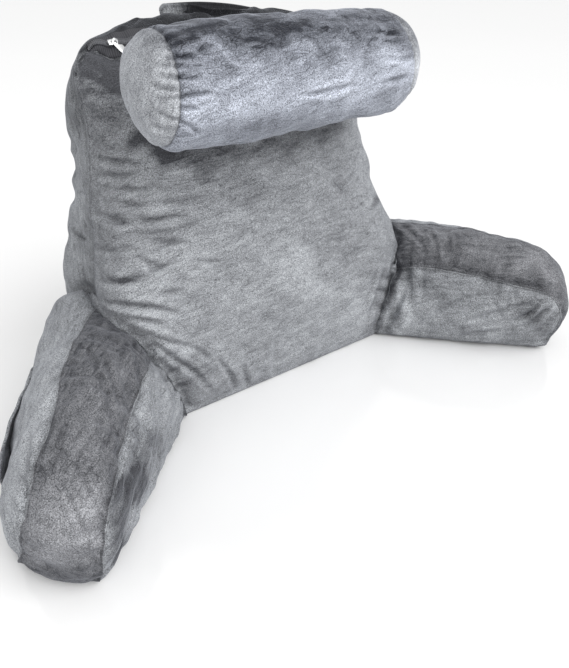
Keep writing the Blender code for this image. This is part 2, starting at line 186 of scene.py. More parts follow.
def velvetPlush(name, light, dark, turn, rest=0.5, ridge=1.10, grooveShade=0.62, coarse=1.0):
    # rest: the tone at which the pile lies by itself, from 0 dark to 1 light
    # the two seam factors: painted highlight on a seam's ridge and painted shade in the groove right beside
    # it, each scaling the cloth's tone
    # coarse: how much its tufts clump
    made, tree, shader = startMaterial(name, {
        "Sheen Weight": 0.35, "Sheen Roughness": 0.40, "Sheen Tint": linear("#D8DCE6"),
        "Specular IOR Level": 0.22})
    place = addNode(tree, "ShaderNodeTexCoord").outputs["Object"]
    turned = addNode(tree, "ShaderNodeMapping", {"Vector": place, "Rotation": turn}).outputs["Vector"]
    drawn, parted = (addNode(tree, "ShaderNodeMapping", {"Vector": turned, "Scale": (plush[key], 1.0, 1.0)}
                             ).outputs["Vector"] for key in ("brushDrawn", "hairlineDrawn"))
    tuft, crinkle, waved, brush, patch = (
        addNode(tree, "ShaderNodeTexNoise",
                {"Vector": vector, "Scale": perMetre(size), "Detail": detail, "Roughness": rough,
                 "Distortion": bent}).outputs["Fac"]
        for vector, size, detail, rough, bent in (
            (place, plush["tuft"] * coarse, 2.0, 0.7, 0.0),
            (turned, plush["crinkle"], 1.5, 0.5, 1.2),
            (parted, plush["hairline"], 1.5, 0.55, 0.6),
            (drawn, plush["brushMark"], 5.0, 0.5, 0.5),
            (turned, plush["patch"], 2.0, 0.5, 0.3)))
    # partings run where their noise crosses its middle
    off = addNode(tree, "ShaderNodeMath", {0: waved, 1: 0.5}, operation="SUBTRACT").outputs[0]
    off = addNode(tree, "ShaderNodeMath", {0: off}, operation="ABSOLUTE").outputs[0]
    parting = addNode(tree, "ShaderNodeMapRange",
                      {"Value": off, "From Min": 0.0, "From Max": plush["hairlineWidth"],
                       "To Min": 1.0, "To Max": 0.0}).outputs["Result"]
    # the lay of the pile, with the painted light and shade of its layer, picks its tone; the first three
    # marks are taken about their middle
    marks = ((brush, plush["brushShare"]), (patch, plush["patchShare"]),
             (crinkle, plush["crinkleShare"]), (parting, -plush["hairlineShare"]))
    layAndShade = addNode(tree, "ShaderNodeAttribute", attribute_name="napLayAndShade").outputs["Fac"]
    layAndShade = addNode(tree, "ShaderNodeMath", {0: layAndShade, 1: rest - 0.5 * sum(share for _, share in marks[:3])},
                  operation="ADD").outputs[0]
    for mark, share in marks:
        layAndShade = addNode(tree, "ShaderNodeMath", {0: mark, 1: share, 2: layAndShade},
                      operation="MULTIPLY_ADD").outputs[0]
    layAndShade = addNode(tree, "ShaderNodeClamp", {"Value": layAndShade}).outputs[0]
    tone = addNode(tree, "ShaderNodeMix", {0: layAndShade, 6: linear(dark), 7: linear(light)},
                   data_type="RGBA").outputs[2]
    grain = addNode(tree, "ShaderNodeMath", {0: tuft, 1: plush["grain"], 2: 1.0 - 0.5 * plush["grain"]},
                    operation="MULTIPLY_ADD").outputs[0]
    # painted highlight and shade at a seam: its ridge is painted lighter (on the roll darker, as painted
    # shade in its sunk seams), then the groove beside it gets painted shade that fades into the panel
    seam = addNode(tree, "ShaderNodeAttribute", attribute_name="seamDistance").outputs["Fac"]
    onRidge, inGroove, away = plush["seamLine"]
    near, beside = (addNode(tree, "ShaderNodeMapRange",
                            {"Value": seam, "From Min": start, "From Max": end, "To Min": first,
                             "To Max": last}).outputs["Result"]
                    for start, end, first, last in ((onRidge, inGroove, ridge, grooveShade),
                                                    (inGroove, away, grooveShade, 1.0)))
    far = addNode(tree, "ShaderNodeMath", {0: seam, 1: inGroove}, operation="GREATER_THAN").outputs[0]
    seamLightAndShade = addNode(tree, "ShaderNodeMix", {0: far, 2: near, 3: beside}, data_type="FLOAT").outputs[0]
    shade = addNode(tree, "ShaderNodeMath", {0: grain, 1: seamLightAndShade}, operation="MULTIPLY").outputs[0]
    # the tone with its grain and its painted seam highlight and shade
    shadedTone = addNode(tree, "ShaderNodeVectorMath", {0: tone, "Scale": shade}, operation="SCALE").outputs[0]
    tree.links.new(shadedTone, shader.inputs["Base Color"])
    smooth, rough = plush["roughness"]
    matt = addNode(tree, "ShaderNodeMapRange", {"Value": tuft, "To Min": smooth, "To Max": rough})
    tree.links.new(matt.outputs["Result"], shader.inputs["Roughness"])
    strokes = addNode(tree, "ShaderNodeMath", {0: crinkle, 1: 0.35, 2: brush},
                      operation="MULTIPLY_ADD").outputs[0]
    relief = addNode(tree, "ShaderNodeBump", {"Height": strokes, "Strength": 0.7,
                                              "Distance": plush["brushDepth"]}).outputs[0]
    for height, depth, sunk in ((parting, plush["hairlineDepth"], True), (tuft, plush["tuftDepth"], False)):
        relief = addNode(tree, "ShaderNodeBump", {"Height": height, "Strength": 0.8, "Distance": depth,
                                                  "Normal": relief}, invert=sunk).outputs[0]
    tree.links.new(relief, shader.inputs["Normal"])
    return made


# the same cloth, cut with its pile another way for each panel; the arms' also by side
frontPlush = velvetPlush("velvetPlushPileUp", "#B3B6BA", "#47484C", (0.0, 0.15, 0.2), coarse=1.1)
gussetPlush = velvetPlush("velvetPlushPileAway", "#ABAEB2", "#26272A", (0.3, 1.4, 0.0))
splayTurns = (("Left", -0.785), ("Right", 0.785))    # radians, as each arm points
stripPlush = [velvetPlush("velvetPlushPileDown" + hand, "#9E9FA3", "#38393D", (0.0, 0.12, turn),
                          rest=0.25, coarse=1.25) for hand, turn in splayTurns]
wallPlush = [velvetPlush("velvetPlushPileAcross" + hand, "#B0B3B7", "#3A3B3F", (0.0, 0.25, turn),
                         rest=0.53, coarse=1.3) for hand, turn in splayTurns]
# the roll is of a smoother, cooler grey; its seams are sunk, and painted shade darkens them and the cloth
# beside them
rollPlush = velvetPlush("velvetPlushBrushed", "#BEC3CF", "#25272E", (0.0, 0.30, 0.12),
                        ridge=0.50, grooveShade=0.82, coarse=1.25)
capPlush = velvetPlush("velvetPlushBrushedCap", "#C2C5CA", "#4C4E53", (0.0, 1.2, 0.2),
                       rest=0.57, ridge=0.50, grooveShade=0.82)
report("velvet mixed")

# curves and maps of the pattern, as the solids have them but for small changes of fullness


def smoothStep(x, low, high):
    t = np.clip((x - low) / (high - low), 0.0, 1.0)
    return t * t * (3.0 - 2.0 * t)


def hermite(stations, values, at):
    slope = np.gradient(values, stations)
    i = np.clip(np.searchsorted(stations, at) - 1, 0, len(stations) - 2)
    step = stations[i + 1] - stations[i]
    t = (np.clip(at, stations[0], stations[-1]) - stations[i]) / step
    return ((2 * t**3 - 3 * t**2 + 1) * values[i] + (t**3 - 2 * t**2 + t) * step * slope[i]
            + (3 * t**2 - 2 * t**3) * values[i + 1] + (t**3 - t**2) * step * slope[i + 1])


def column(rows, k, at):
    table = np.array(rows)
    return hermite(table[:, 0], table[:, k], at)


def lengthAlong(points):
    return np.concatenate([[0.0], np.cumsum(np.linalg.norm(np.diff(points, axis=0), axis=1))])


def rail(rows, share):
    points = np.array(rows)
    length = lengthAlong(points)
    length /= length[-1]
    return np.stack([hermite(length, points[:, k], share) for k in range(3)], axis=1)


centreY = -0.0153

back = {
    "cuts": (72, 20, 72),
    "frontHeight": 0.489,
    "rearHeight": 0.500,
    "frontCorner": 0.036,
    "rearCorner": 0.135,
    "cornerSpan": 0.2929,    # shares of a rounded corner's radius that it takes, across and up
    "cornerRise": 0.7072,
    "frontSeamY": 0.055,
    "frontLean": 0.18,
    "topCrown": 0.026,
    "topSag": 0.018,
    "lurch": 0.005,          # how far its middle stands to the left
    # height, front half width, crown, squareness, rear half width, rear y, rear crown, side bulge
    "rows": [
        (0.00, 0.278, 0.058, 11.0, 0.235, 0.215, 0.016, 0.018),
        (0.12, 0.276, 0.082, 11.0, 0.232, 0.220, 0.028, 0.042),
        (0.18, 0.267, 0.083, 8.5, 0.222, 0.223, 0.030, 0.041),
        (0.25, 0.247, 0.079, 6.0, 0.207, 0.225, 0.030, 0.032),
        (0.33, 0.2285, 0.078, 4.0, 0.199, 0.224, 0.027, 0.018),
        (0.42, 0.2200, 0.080, 3.2, 0.201, 0.219, 0.020, 0.018),
        (0.46, 0.2195, 0.074, 3.0, 0.204, 0.214, 0.014, 0.018),
        (0.50, 0.217, 0.050, 3.0, 0.203, 0.209, 0.008, 0.014),
    ],
}


def backPoint(across, through, up):
    rows = back["rows"]

    def seamHalf(height):
        return column(rows, 1, height) * (1 - through) + column(rows, 4, height) * through

    top = back["frontHeight"] * (1 - through) + back["rearHeight"] * through
    corner = back["frontCorner"] + (back["rearCorner"] - back["frontCorner"]) * through**0.5
    half = seamHalf(top)
    past = np.clip(np.abs(across) * (half - back["cornerSpan"] * corner) - (half - corner), 0.0, None)
    z = up * (top - corner + np.sqrt(corner**2 - past**2))
    past = np.clip(z - (top - corner), 0.0, back["cornerRise"] * corner)
    x = across * (seamHalf(z) - corner + np.sqrt(corner**2 - past**2))
    x = x + (np.sign(across) * column(rows, 7, z) * np.sin(np.pi * through**2)**0.9
             * np.abs(across)**8)
    x = x - back["lurch"] * smoothStep(z, 0.12, 0.26) * (1 - smoothStep(z, 0.32, 0.42))
    rounding = (np.clip(1 - np.abs(across)**column(rows, 3, z), 0, 1)
                ** (0.5 + 0.25 * smoothStep(z, 0.15, 0.40)))
    crown = column(rows, 2, z) * rounding * np.sqrt(np.clip(1 - up**14, 0, 1))
    front = back["frontSeamY"] + back["frontLean"] * z - crown
    rear = column(rows, 5, z) + column(rows, 6, z) * (1 - across**2) * (1 - up**6)
    y = front * (1 - through) + rear * through
    z = (z + back["topCrown"] * np.sin(np.pi * through)**0.8 * up**14 * (1 - 0.24 * across**2)
         - back["topSag"] * smoothStep(-np.abs(across), -0.95, -0.78) * (1 - through)**2 * up**8)
    return np.stack([x, y + centreY, z], axis=1)


arm = {
    "cuts": (80, 26, 40),
    "splay": math.radians(44.8),
    "footX": 0.187,
    "corner": 0.80,          # share of each strip seam that runs along the top
    "innerBulge": 0.012,
    "stripCrown": 0.016,
    "frontCrown": 0.020,
    # along, out, up
    "innerSeam": [(-0.070, 0.036, 0.118), (-0.020, 0.034, 0.121), (0.029, 0.028, 0.1234),
                  (0.078, 0.014, 0.138), (0.153, 0.003, 0.1355), (0.220, -0.010, 0.128),
                  (0.273, -0.019, 0.115), (0.301, -0.015, 0.068), (0.299, 0.005, 0.0)],
    "outerSeam": [(-0.070, 0.112, 0.160), (-0.030, 0.116, 0.170), (0.005, 0.115, 0.174),
                  (0.072, 0.1025, 0.182), (0.160, 0.0815, 0.185), (0.212, 0.0635, 0.181),
                  (0.275, 0.052, 0.168), (0.309, 0.068, 0.098), (0.287, 0.109, 0.0)],
    "innerFloor": [(-0.070, 0.020, 0.0), (0.000, 0.000, 0.0), (0.080, -0.002, 0.0),
                   (0.160, -0.002, 0.0), (0.240, 0.000, 0.0), (0.299, 0.005, 0.0)],
    "outerFloor": [(-0.070, 0.140, 0.0), (0.000, 0.172, 0.0), (0.080, 0.168, 0.0),
                   (0.160, 0.158, 0.0), (0.240, 0.138, 0.0), (0.287, 0.109, 0.0)],
    # share of the length, then bulge of the outer wall and lift of its top
    "outerBulge": [(0.00, 0.036, 0.058), (0.10, 0.056, 0.075), (0.18, 0.064, 0.068),
                   (0.26, 0.059, 0.038), (0.35, 0.053, 0.014), (0.52, 0.045, 0.002),
                   (0.66, 0.036, 0.000), (0.80, 0.028, 0.000), (0.92, 0.020, 0.000),
                   (1.00, 0.000, 0.000)],
    # the right arm is stuffed flatter at its root and a little fuller at its end
    "rootLift": (1.16, 0.35),
    "endReach": (0.0, 0.010),
    "endLift": (0.0, 0.004),
}


def armWall(seam, floor, share, up):
    top = rail(seam, arm["corner"] * share)
    front = rail(seam, arm["corner"] + (1 - arm["corner"]) * (1 - up))
    foot = rail(floor, share)
    ends = rail(seam, np.array([0.0, arm["corner"]]))
    feet = rail(floor, np.array([0.0, 1.0]))
    a, h = share[:, None], up[:, None]
    root = feet[0] * (1 - h) + ends[0] * h
    corners = ((1 - a) * (1 - h) * feet[0] + a * (1 - h) * feet[1]
               + (1 - a) * h * ends[0] + a * h * ends[1])
    return (1 - h) * foot + h * top + (1 - a) * root + a * front - corners


def armPoint(share, across, up, side):
    swell = np.sin(np.pi * np.clip(up, 0, 1))**0.55
    inner = armWall(arm["innerSeam"], arm["innerFloor"], share, up)
    inner[:, 1] -= arm["innerBulge"] * swell * np.clip(1 - share**6, 0, 1)**0.7
    outer = armWall(arm["outerSeam"], arm["outerFloor"], share, up)
    outer[:, 1] += column(arm["outerBulge"], 1, share) * swell
    which = int(side > 0)
    outer[:, 2] += column(arm["outerBulge"], 2, share) * swell * up**2 * arm["rootLift"][which]
    v = across[:, None]
    point = inner * (1 - v) + outer * v
    ridge = np.clip(np.sin(np.pi * across), 0, 1)**0.8
    nose = smoothStep(share, 0.75, 1.0)
    lift = arm["stripCrown"] * ridge * up**8 * (1 - nose)
    push = arm["frontCrown"] * ridge * share**8 * np.sqrt(np.clip(up, 0, 1)) * nose
    point[:, 0] += push * (0.35 + 0.65 * np.cos(np.pi / 2 * up))
    point[:, 0] += arm["endReach"][which] * nose * (0.1 + 0.9 * up)
    point[:, 2] += arm["endLift"][which] * nose * up
    point[:, 1] -= 0.50 * lift + 0.35 * push * up
    point[:, 2] += 0.87 * lift + 0.65 * push * up
    along, out = math.sin(arm["splay"]), math.cos(arm["splay"])
    x = arm["footX"] + along * point[:, 0] + out * point[:, 1]
    y = -out * point[:, 0] + along * point[:, 1]
    return np.stack([side * x, y + centreY, point[:, 2]], axis=1)


roll = {
    "cuts": (72, 22, 22),
    "radius": 0.0670,
    "shoulder": 0.157,       # where the body starts to round off, each side of the middle
    "dome": 0.046,
    "seam": 0.170,           # end-cap seams, out on the rounding
    "seamLean": -0.10,
    "y": 0.0025,
    "z": 0.457,
    "droop": 0.003,          # how much lower its right end hangs
}


def rollPoint(along, v, w):
    # along -1..1 over the body, v and w -1..1 over the square that becomes its round
    reach = np.maximum(np.abs(v), np.abs(w))
    sideways = np.abs(v) >= np.abs(w)
    turn = np.pi / 4 * np.where(sideways, w, v) / np.maximum(reach, 1e-9)
    angle = np.where(sideways, np.where(v >= 0, turn, np.pi - turn),
                     np.where(w >= 0, np.pi / 2 - turn, -np.pi / 2 + turn))
    shoulder, dome = roll["shoulder"], roll["dome"]
    seam = roll["seam"] + roll["seamLean"] * roll["radius"] * np.sin(angle)
    first = np.arccos(np.clip((seam - shoulder) / dome, 0, 1))
    slope = np.where(np.abs(along) > 0.9999, first * reach**(1 / 0.9),
                     np.arccos(np.clip((np.abs(along) * seam - shoulder) / dome, 0, 1)))
    x = np.abs(along) * seam
    x = np.where(np.abs(along) > 0.9999, shoulder + dome * np.cos(slope), x)
    radius = roll["radius"] * np.where(x < shoulder, 1 - 0.05 * (x / shoulder)**4,
                                       0.95 * np.sin(slope)**0.9)
    return np.stack([np.sign(along) * x, roll["y"] + centreY + radius * np.cos(angle),
                     roll["z"] - roll["droop"] * smoothStep(np.sign(along) * x, 0.05, 0.20)
                     + radius * np.sin(angle)], axis=1)


# meshes: a block of quads whose sides are the panels, shaped by one of the maps


def panelBlock(cuts):
    # numbers of its points by place, their shares of each axis, its quads and the side each is on
    number, quads, panels = {}, [], []
    for axis in range(3):
        u, v = (axis + 1) % 3, (axis + 2) % 3
        for side, end in enumerate((0, cuts[axis])):
            for a in range(cuts[u]):
                for b in range(cuts[v]):
                    ring = []
                    for da, db in ((0, 0), (1, 0), (1, 1), (0, 1)):
                        at = [0, 0, 0]
                        at[axis], at[u], at[v] = end, a + da, b + db
                        ring.append(number.setdefault(tuple(at), len(number)))
                    quads.append(ring if side else ring[::-1])
                    panels.append(2 * axis + side)
    return number, np.array(list(number)) / cuts, quads, np.array(panels)


def makePiece(name, points, quads, finishes, slots=None, mirrored=False):
    mesh = bpy.data.meshes.new(name)
    mesh.from_pydata(points.tolist(), [], [ring[::-1] for ring in quads] if mirrored else quads)
    for finish in finishes:
        mesh.materials.append(finish)
    if slots is not None:
        mesh.polygons.foreach_set("material_index", np.asarray(slots, dtype=np.int32))
    mesh.shade_smooth()
    return addObject(name, mesh)


def readValues(items, name, width=3, kind=float):
    values = np.zeros(len(items) * width, dtype=kind)
    items.foreach_get(name, values)
    return values.reshape(-1, width)


def readPoints(mesh):
    return readValues(mesh.vertices, "co")


def readNormals(mesh):
    return readValues(mesh.vertices, "normal")


def readEdges(mesh):
    return readValues(mesh.edges, "vertices", 2, np.int64)


def writePoints(mesh, points):
    mesh.vertices.foreach_set("co", points.ravel())
    mesh.update()


def writeLayer(mesh, name, values):
    mesh.attributes.new(name, "FLOAT", "POINT").data.foreach_set("value", values.astype(np.float32))


def unit(vectors):
    return vectors / np.linalg.norm(vectors, axis=1)[:, None]


def crossings(first, second):
    # both coordinates of every point of a grid, row by row
    return (grid.ravel() for grid in np.meshgrid(first, second, indexing="ij"))


def evened(values, edges, rounds):
    # each value drawn towards those of its neighbours
    both = np.concatenate([edges, edges[:, ::-1]])
    count = np.bincount(both[:, 0], minlength=len(values))[:, None]
    for _ in range(rounds):
        sums = np.stack([np.bincount(both[:, 0], weights=values[both[:, 1], k],
                                     minlength=len(values)) for k in range(values.shape[1])], axis=1)
        values = 0.5 * values + 0.5 * sums / count
    return values


def waves(points, length, seed, count=12):
    # smooth lumps of about this length, about -1 to 1
    random = np.random.default_rng(seed)
    total = np.zeros(len(points))
    for _ in range(count):
        axis = random.normal(size=3)
        axis *= 2 * np.pi / (length * random.uniform(0.75, 1.5)) / np.linalg.norm(axis)
        total += np.sin(points @ axis + random.uniform(0, 2 * np.pi))
    return total / math.sqrt(count / 2)


def seamPath(number, cuts, corners):
    # vertex numbers along the block's edges, from corner to corner
    path = []
    for first, last in zip(corners, corners[1:]):
        start = [first[a] * cuts[a] for a in range(3)]
        step = [last[a] - first[a] for a in range(3)]
        length = max(abs(step[a]) * cuts[a] for a in range(3))
        for k in range(length):
            path.append(number[tuple(start[a] + step[a] * k for a in range(3))])
    path.append(number[tuple(corners[-1][a] * cuts[a] for a in range(3))])
    return path


def treeOf(points, chosen):
    tree = KDTree(len(chosen))
    for k in chosen:
        tree.insert(points[k], k)
    tree.balance()
    return tree


def nearSeams(points, seamLines):
    # for each point: distance to the nearest seam, place along it and which seam it is
    places = np.concatenate(seamLines)
    runs = np.concatenate([lengthAlong(line) for line in seamLines])
    tangents = np.concatenate([unit(np.gradient(line, axis=0)) for line in seamLines])
    which = np.repeat(np.arange(len(seamLines)), [len(line) for line in seamLines])
    tree = treeOf(places, range(len(places)))
    nearest = np.array([tree.find(point)[1] for point in points])
    gap = points - places[nearest]
    slide = np.sum(gap * tangents[nearest], axis=1)
    spacing = 0.006          # farther than a seam's own points are apart
    gap -= np.clip(slide, -spacing, spacing)[:, None] * tangents[nearest]
    return np.linalg.norm(gap, axis=1), runs[nearest] + slide, which[nearest]


def puckers(distance, run, depth, length, reach, seed):
    # gathers that start at a seam and fade into the panel
    line = np.stack([run, np.zeros_like(run), np.zeros_like(run)], axis=1)
    phase = 2 * np.pi * run / length + 1.4 * waves(line, 4 * length, seed)
    strength = np.clip(0.55 + 0.45 * waves(line, 5 * length, seed + 1), 0, 1.4)
    fade = reach * np.clip(0.8 + 0.5 * waves(line, 3 * length, seed + 2), 0.35, 1.6)
    trough = (0.5 + 0.5 * np.cos(phase))**1.6
    return -depth * strength * trough * np.exp(-distance / fade) * (1 - np.exp(-distance / 0.003))


def besideSeam(distance, depth, width):
    # the cloth dips beside a seam, which stays up as a ridge
    return -depth * (distance / width) * np.exp(1 - distance / width)


def nearLines(spots, line):
    # distance in the camera's view to a line, and the share of its length passed there
    line = np.array(line, dtype=float)
    lengths = np.linalg.norm(np.diff(line, axis=0), axis=1)
    best, share, covered = np.full(len(spots), 1e9), np.zeros(len(spots)), 0.0
    for start, end, length in zip(line, line[1:], lengths):
        t = np.clip(((spots - start) @ (end - start)) / length**2, 0, 1)
        gap = np.linalg.norm(spots - start - t[:, None] * (end - start), axis=1)
        share = np.where(gap < best, (covered + t * length) / lengths.sum(), share)
        best = np.minimum(gap, best)
        covered += length
    return best, share


def facingCamera(points, normals):
    towards = unit(np.array(camera["place"]) - points)
    return smoothStep(np.sum(normals * towards, axis=1), 0.0, 0.2)


def folds(points, normals, lines):
    # troughs laid along lines of the camera's view, on what faces the camera
    spots = pictured(points)
    total = np.zeros(len(points))
    for depth, width, *line in lines:
        best, share = nearLines(spots, line)
        reach = width * (0.55 + 0.45 * np.sin(np.pi * share))
        fade = np.clip(np.sin(np.pi * np.clip(share, 0.02, 0.98)), 0, 1)**0.6
        total -= 0.001 * depth * fade * (np.exp(-(best / reach)**2)
                                          - 0.38 * np.exp(-((best - 2.1 * reach) / (0.9 * reach))**2))
    return total * facingCamera(points, normals)


# what every piece's filling shares; each piece adds its own
stuffing = {
    "pressure": 3.0,
    "stretch": 12.0,
    "shear": 4.8,
    "quality": 5,
    "broadLimit": 0.0010,    # m, how far the filling may push a whole panel out
}


def fillWithStuffing(piece, seams, held, filling):
    # cloth blown up by its filling; the seams are drawn tight and the underside is held
    for name, chosen in (("seams", seams), ("held", held)):
        piece.vertex_groups.new(name=name).add([int(k) for k in chosen], 1.0, "REPLACE")
    cloth = piece.modifiers.new("stuffing", "CLOTH")
    for rule, value in {
            "quality": filling["quality"],
            "tension_stiffness": filling["stretch"],
            "compression_stiffness": filling["stretch"],
            "shear_stiffness": filling["shear"],
            "bending_stiffness": filling["bending"],
            "use_pressure": True,
            "uniform_pressure_force": filling["pressure"],
            "vertex_group_mass": "held",
            "vertex_group_shrink": "seams",
            "shrink_min": -filling["slack"],
            "shrink_max": filling["gather"]}.items():
        setattr(cloth.settings, rule, value)
    cloth.settings.effector_weights.gravity = 0.0
    cloth.point_cache.frame_start = 1
    cloth.point_cache.frame_end = filling["frames"]
    for frameNumber in range(1, filling["frames"] + 1):
        scene.frame_set(frameNumber)
    points = readPoints(piece.evaluated_get(bpy.context.evaluated_depsgraph_get()).data)
    piece.modifiers.remove(cloth)
    piece.vertex_groups.clear()
    scene.frame_set(1)
    return points


def capped(moves, limit, gain=1.0):
    size = np.linalg.norm(moves, axis=1)[:, None] + 1e-9
    return moves * (limit * np.tanh(gain * size / limit) / size)


def settle(piece, seams, held, filling):
    # keeps the pattern's outline and takes the cloth's wrinkles, up to a limit
    pattern = readPoints(piece.data)
    moved = fillWithStuffing(piece, seams, held, filling) - pattern
    broad = evened(moved, readEdges(piece.data), filling["evening"])
    return (pattern + capped(broad, filling["broadLimit"])
            + capped(moved - broad, filling["limit"], filling["gain"]))


def subdivided(piece, creased, crease=0.8):
    # one subdivision, which leaves the seams as ridges
    hard = {(min(a, b), max(a, b)) for path in creased for a, b in zip(path, path[1:])}
    marks = piece.data.attributes.new("crease_edge", "FLOAT", "EDGE")
    marks.data.foreach_set("value", [crease if (min(a, b), max(a, b)) in hard else 0.0
                                     for a, b in readEdges(piece.data).tolist()])
    finer = piece.modifiers.new("finer", "SUBSURF")
    finer.levels = finer.render_levels = 1
    dense = bpy.data.meshes.new_from_object(
        piece.evaluated_get(bpy.context.evaluated_depsgraph_get()))
    piece.modifiers.remove(finer)
    coarse, piece.data = piece.data, dense
    dense.name = coarse.name
    bpy.data.meshes.remove(coarse)
    return dense


def sewn(name, cuts, pattern, slots, finishes, corners, heldAxes, filling, mirrored=False):
    # a closed cover cut by its pattern, filled and smoothed, with its seams as rows of points
    number, shares, quads, panels = panelBlock(cuts)
    piece = makePiece(name, pattern(shares), quads, finishes, np.array(slots)[panels], mirrored)
    paths = [seamPath(number, cuts, line) for line in corners]
    held = np.flatnonzero((shares[:, heldAxes] < 0.001).any(axis=1))
    writePoints(piece.data, settle(piece, sorted(set(paths[0] + paths[1])), held, filling))
    return piece, subdivided(piece, paths), paths


def layAndShadeStrokes(points, normals, strokes):
    # strokes painted lighter or darker: some where a hand has laid the pile, others painted shadow, shade
    # and highlight, such as under the roll and on the two sides of creases; change, width px, then the
    # stroke
    spots = pictured(points) + 5.0 * np.stack([waves(points, 0.05, 81), waves(points, 0.05, 82)], axis=1)
    total = np.zeros(len(points))
    for change, width, *line in strokes:
        gap, _ = nearLines(spots, line)
        total += change * np.exp(-(gap / width)**2)
    return total * facingCamera(points, normals)


# painted light and shade: the cloth is painted lighter where its slope tips up towards the light and darker
# down in a crease, as painted highlight and painted shade
slopeAndCreaseShading = {
    # direction towards the light, for the painted highlight on slopes
    "lean": (0.25, -0.30, 0.92),
    "slopeLightShare": 0.40,
    "slopeLightCap": 0.6,
    "creaseShadeShare": 0.034,    # for each mm that the cloth dips
    "creaseShadeCap": (-6, 2),    # mm
}


# the tone layer of a cloth: painted highlight on slopes, painted shade in creases, and its strokes
def layAndShadeOf(mesh, smooth, offset, strokes):
    points, normals = readPoints(mesh), readNormals(mesh)
    tippedToLight = np.clip((normals - smooth) @ np.array(slopeAndCreaseShading["lean"]), -slopeAndCreaseShading["slopeLightCap"], slopeAndCreaseShading["slopeLightCap"])
    dippedForShade = np.clip(1000 * offset, *slopeAndCreaseShading["creaseShadeCap"])
    return slopeAndCreaseShading["slopeLightShare"] * tippedToLight + slopeAndCreaseShading["creaseShadeShare"] * dippedForShade + layAndShadeStrokes(points, normals, strokes)


def roundedFoot(points, normals, distance, foot, corners, radius):
    # the cloth turns in under the piece, so its lower edge and corners are round and not cut square
    level = normals.copy()
    level[:, 2] = 0.0
    level /= np.linalg.norm(level, axis=1)[:, None] + 1e-9
    inward = -level
    corner = treeOf(points, corners)
    for k in np.flatnonzero(points[:, 2] < radius):
        _, nearest, gap = corner.find(points[k])
        share = math.exp(-(gap / (1.2 * radius))**2)
        inward[k] = -(1 - share) * level[k] - 1.4 * share * level[nearest]
    rise = np.clip(1 - points[:, 2] / radius, 0, 1)
    move = inward * (radius * (1 - np.sqrt(np.clip(1 - rise**2, 0, 1))))[:, None]
    edge = treeOf(points, foot)
    for k in np.flatnonzero(points[:, 2] < 1e-4):
        move[k] = move[edge.find(points[k])[1]] * math.exp(-distance[k] / (3 * radius))
    return points + move


def surfaceOf(mesh):
    return BVHTree.FromPolygons([v.co for v in mesh.vertices], [p.vertices for p in mesh.polygons])


def heightOver(surface, points):
    # signed distance of points over a surface, with the nearest place and its normal
    heights, places, outs = np.empty(len(points)), np.empty((len(points), 3)), np.empty((len(points), 3))
    for k, point in enumerate(points):
        place, out, _, gap = surface.find_nearest(Vector(point))
        heights[k] = gap if (Vector(point) - place).dot(out) > 0 else -gap
        places[k], outs[k] = place, out
    return heights, places, outs


def lumpsOf(points, finish, seed):
    # uneven filling
    depth, broad, fine, share = finish["lumps"]
    return depth * (waves(points, broad, seed) + share * waves(points, fine, seed + 1))


def writeCloth(mesh, points, normals, creases, distance, strokes, darker=0.0):
    # the shaped cloth, with the two layers that its velvet reads; the first carries painted light and shade
    # along with the pile's lay
    writePoints(mesh, points)
    writeLayer(mesh, "napLayAndShade", layAndShadeOf(mesh, normals, creases, strokes) - darker)
    writeLayer(mesh, "seamDistance", 1000 * distance)


def dress(mesh, paths, roots, finish, lines, strokes, seeds, eased=None, topDark=0.0):
    # sewing marks of a cushion; seeds are for its lumps, its puckers and the puckers of its roots
    points, normals = readPoints(mesh), readNormals(mesh)
    distance, run, which = nearSeams(points, [points[path] for path in paths[:3]])
    rootGap, rootRun, _ = nearSeams(points, roots)
    creases = puckers(distance, run, *finish["puckers"], seeds[1]) * np.array(finish["puckerShare"])[which]
    if eased:
        creases = eased(creases, points, normals, distance, run, which, rootGap)
    creases += folds(points, normals, lines)
    creases += puckers(rootGap, rootRun, *finish["rootPuckers"], seeds[2])
    rootDepth, rootReach = finish["rootGroove"]
    creases -= rootDepth * np.exp(-rootGap / rootReach)
    creases += besideSeam(distance, finish["seamDepth"], finish["seamWidth"])
    offset = lumpsOf(points, finish, seeds[0]) + creases
    offset *= smoothStep(points[:, 2], 0.0, finish["floorFade"])
    points = roundedFoot(points + normals * offset[:, None], normals, distance, paths[2],
                         paths[0] + paths[1], finish["foot"])
    points[:, 2] = np.maximum(points[:, 2], 0.0)
    # what faces up is painted darker: painted shade, and the pile's lay
    writeCloth(mesh, points, normals, creases, distance, strokes,
               topDark * smoothStep(normals[:, 2], 0.45, 0.85))


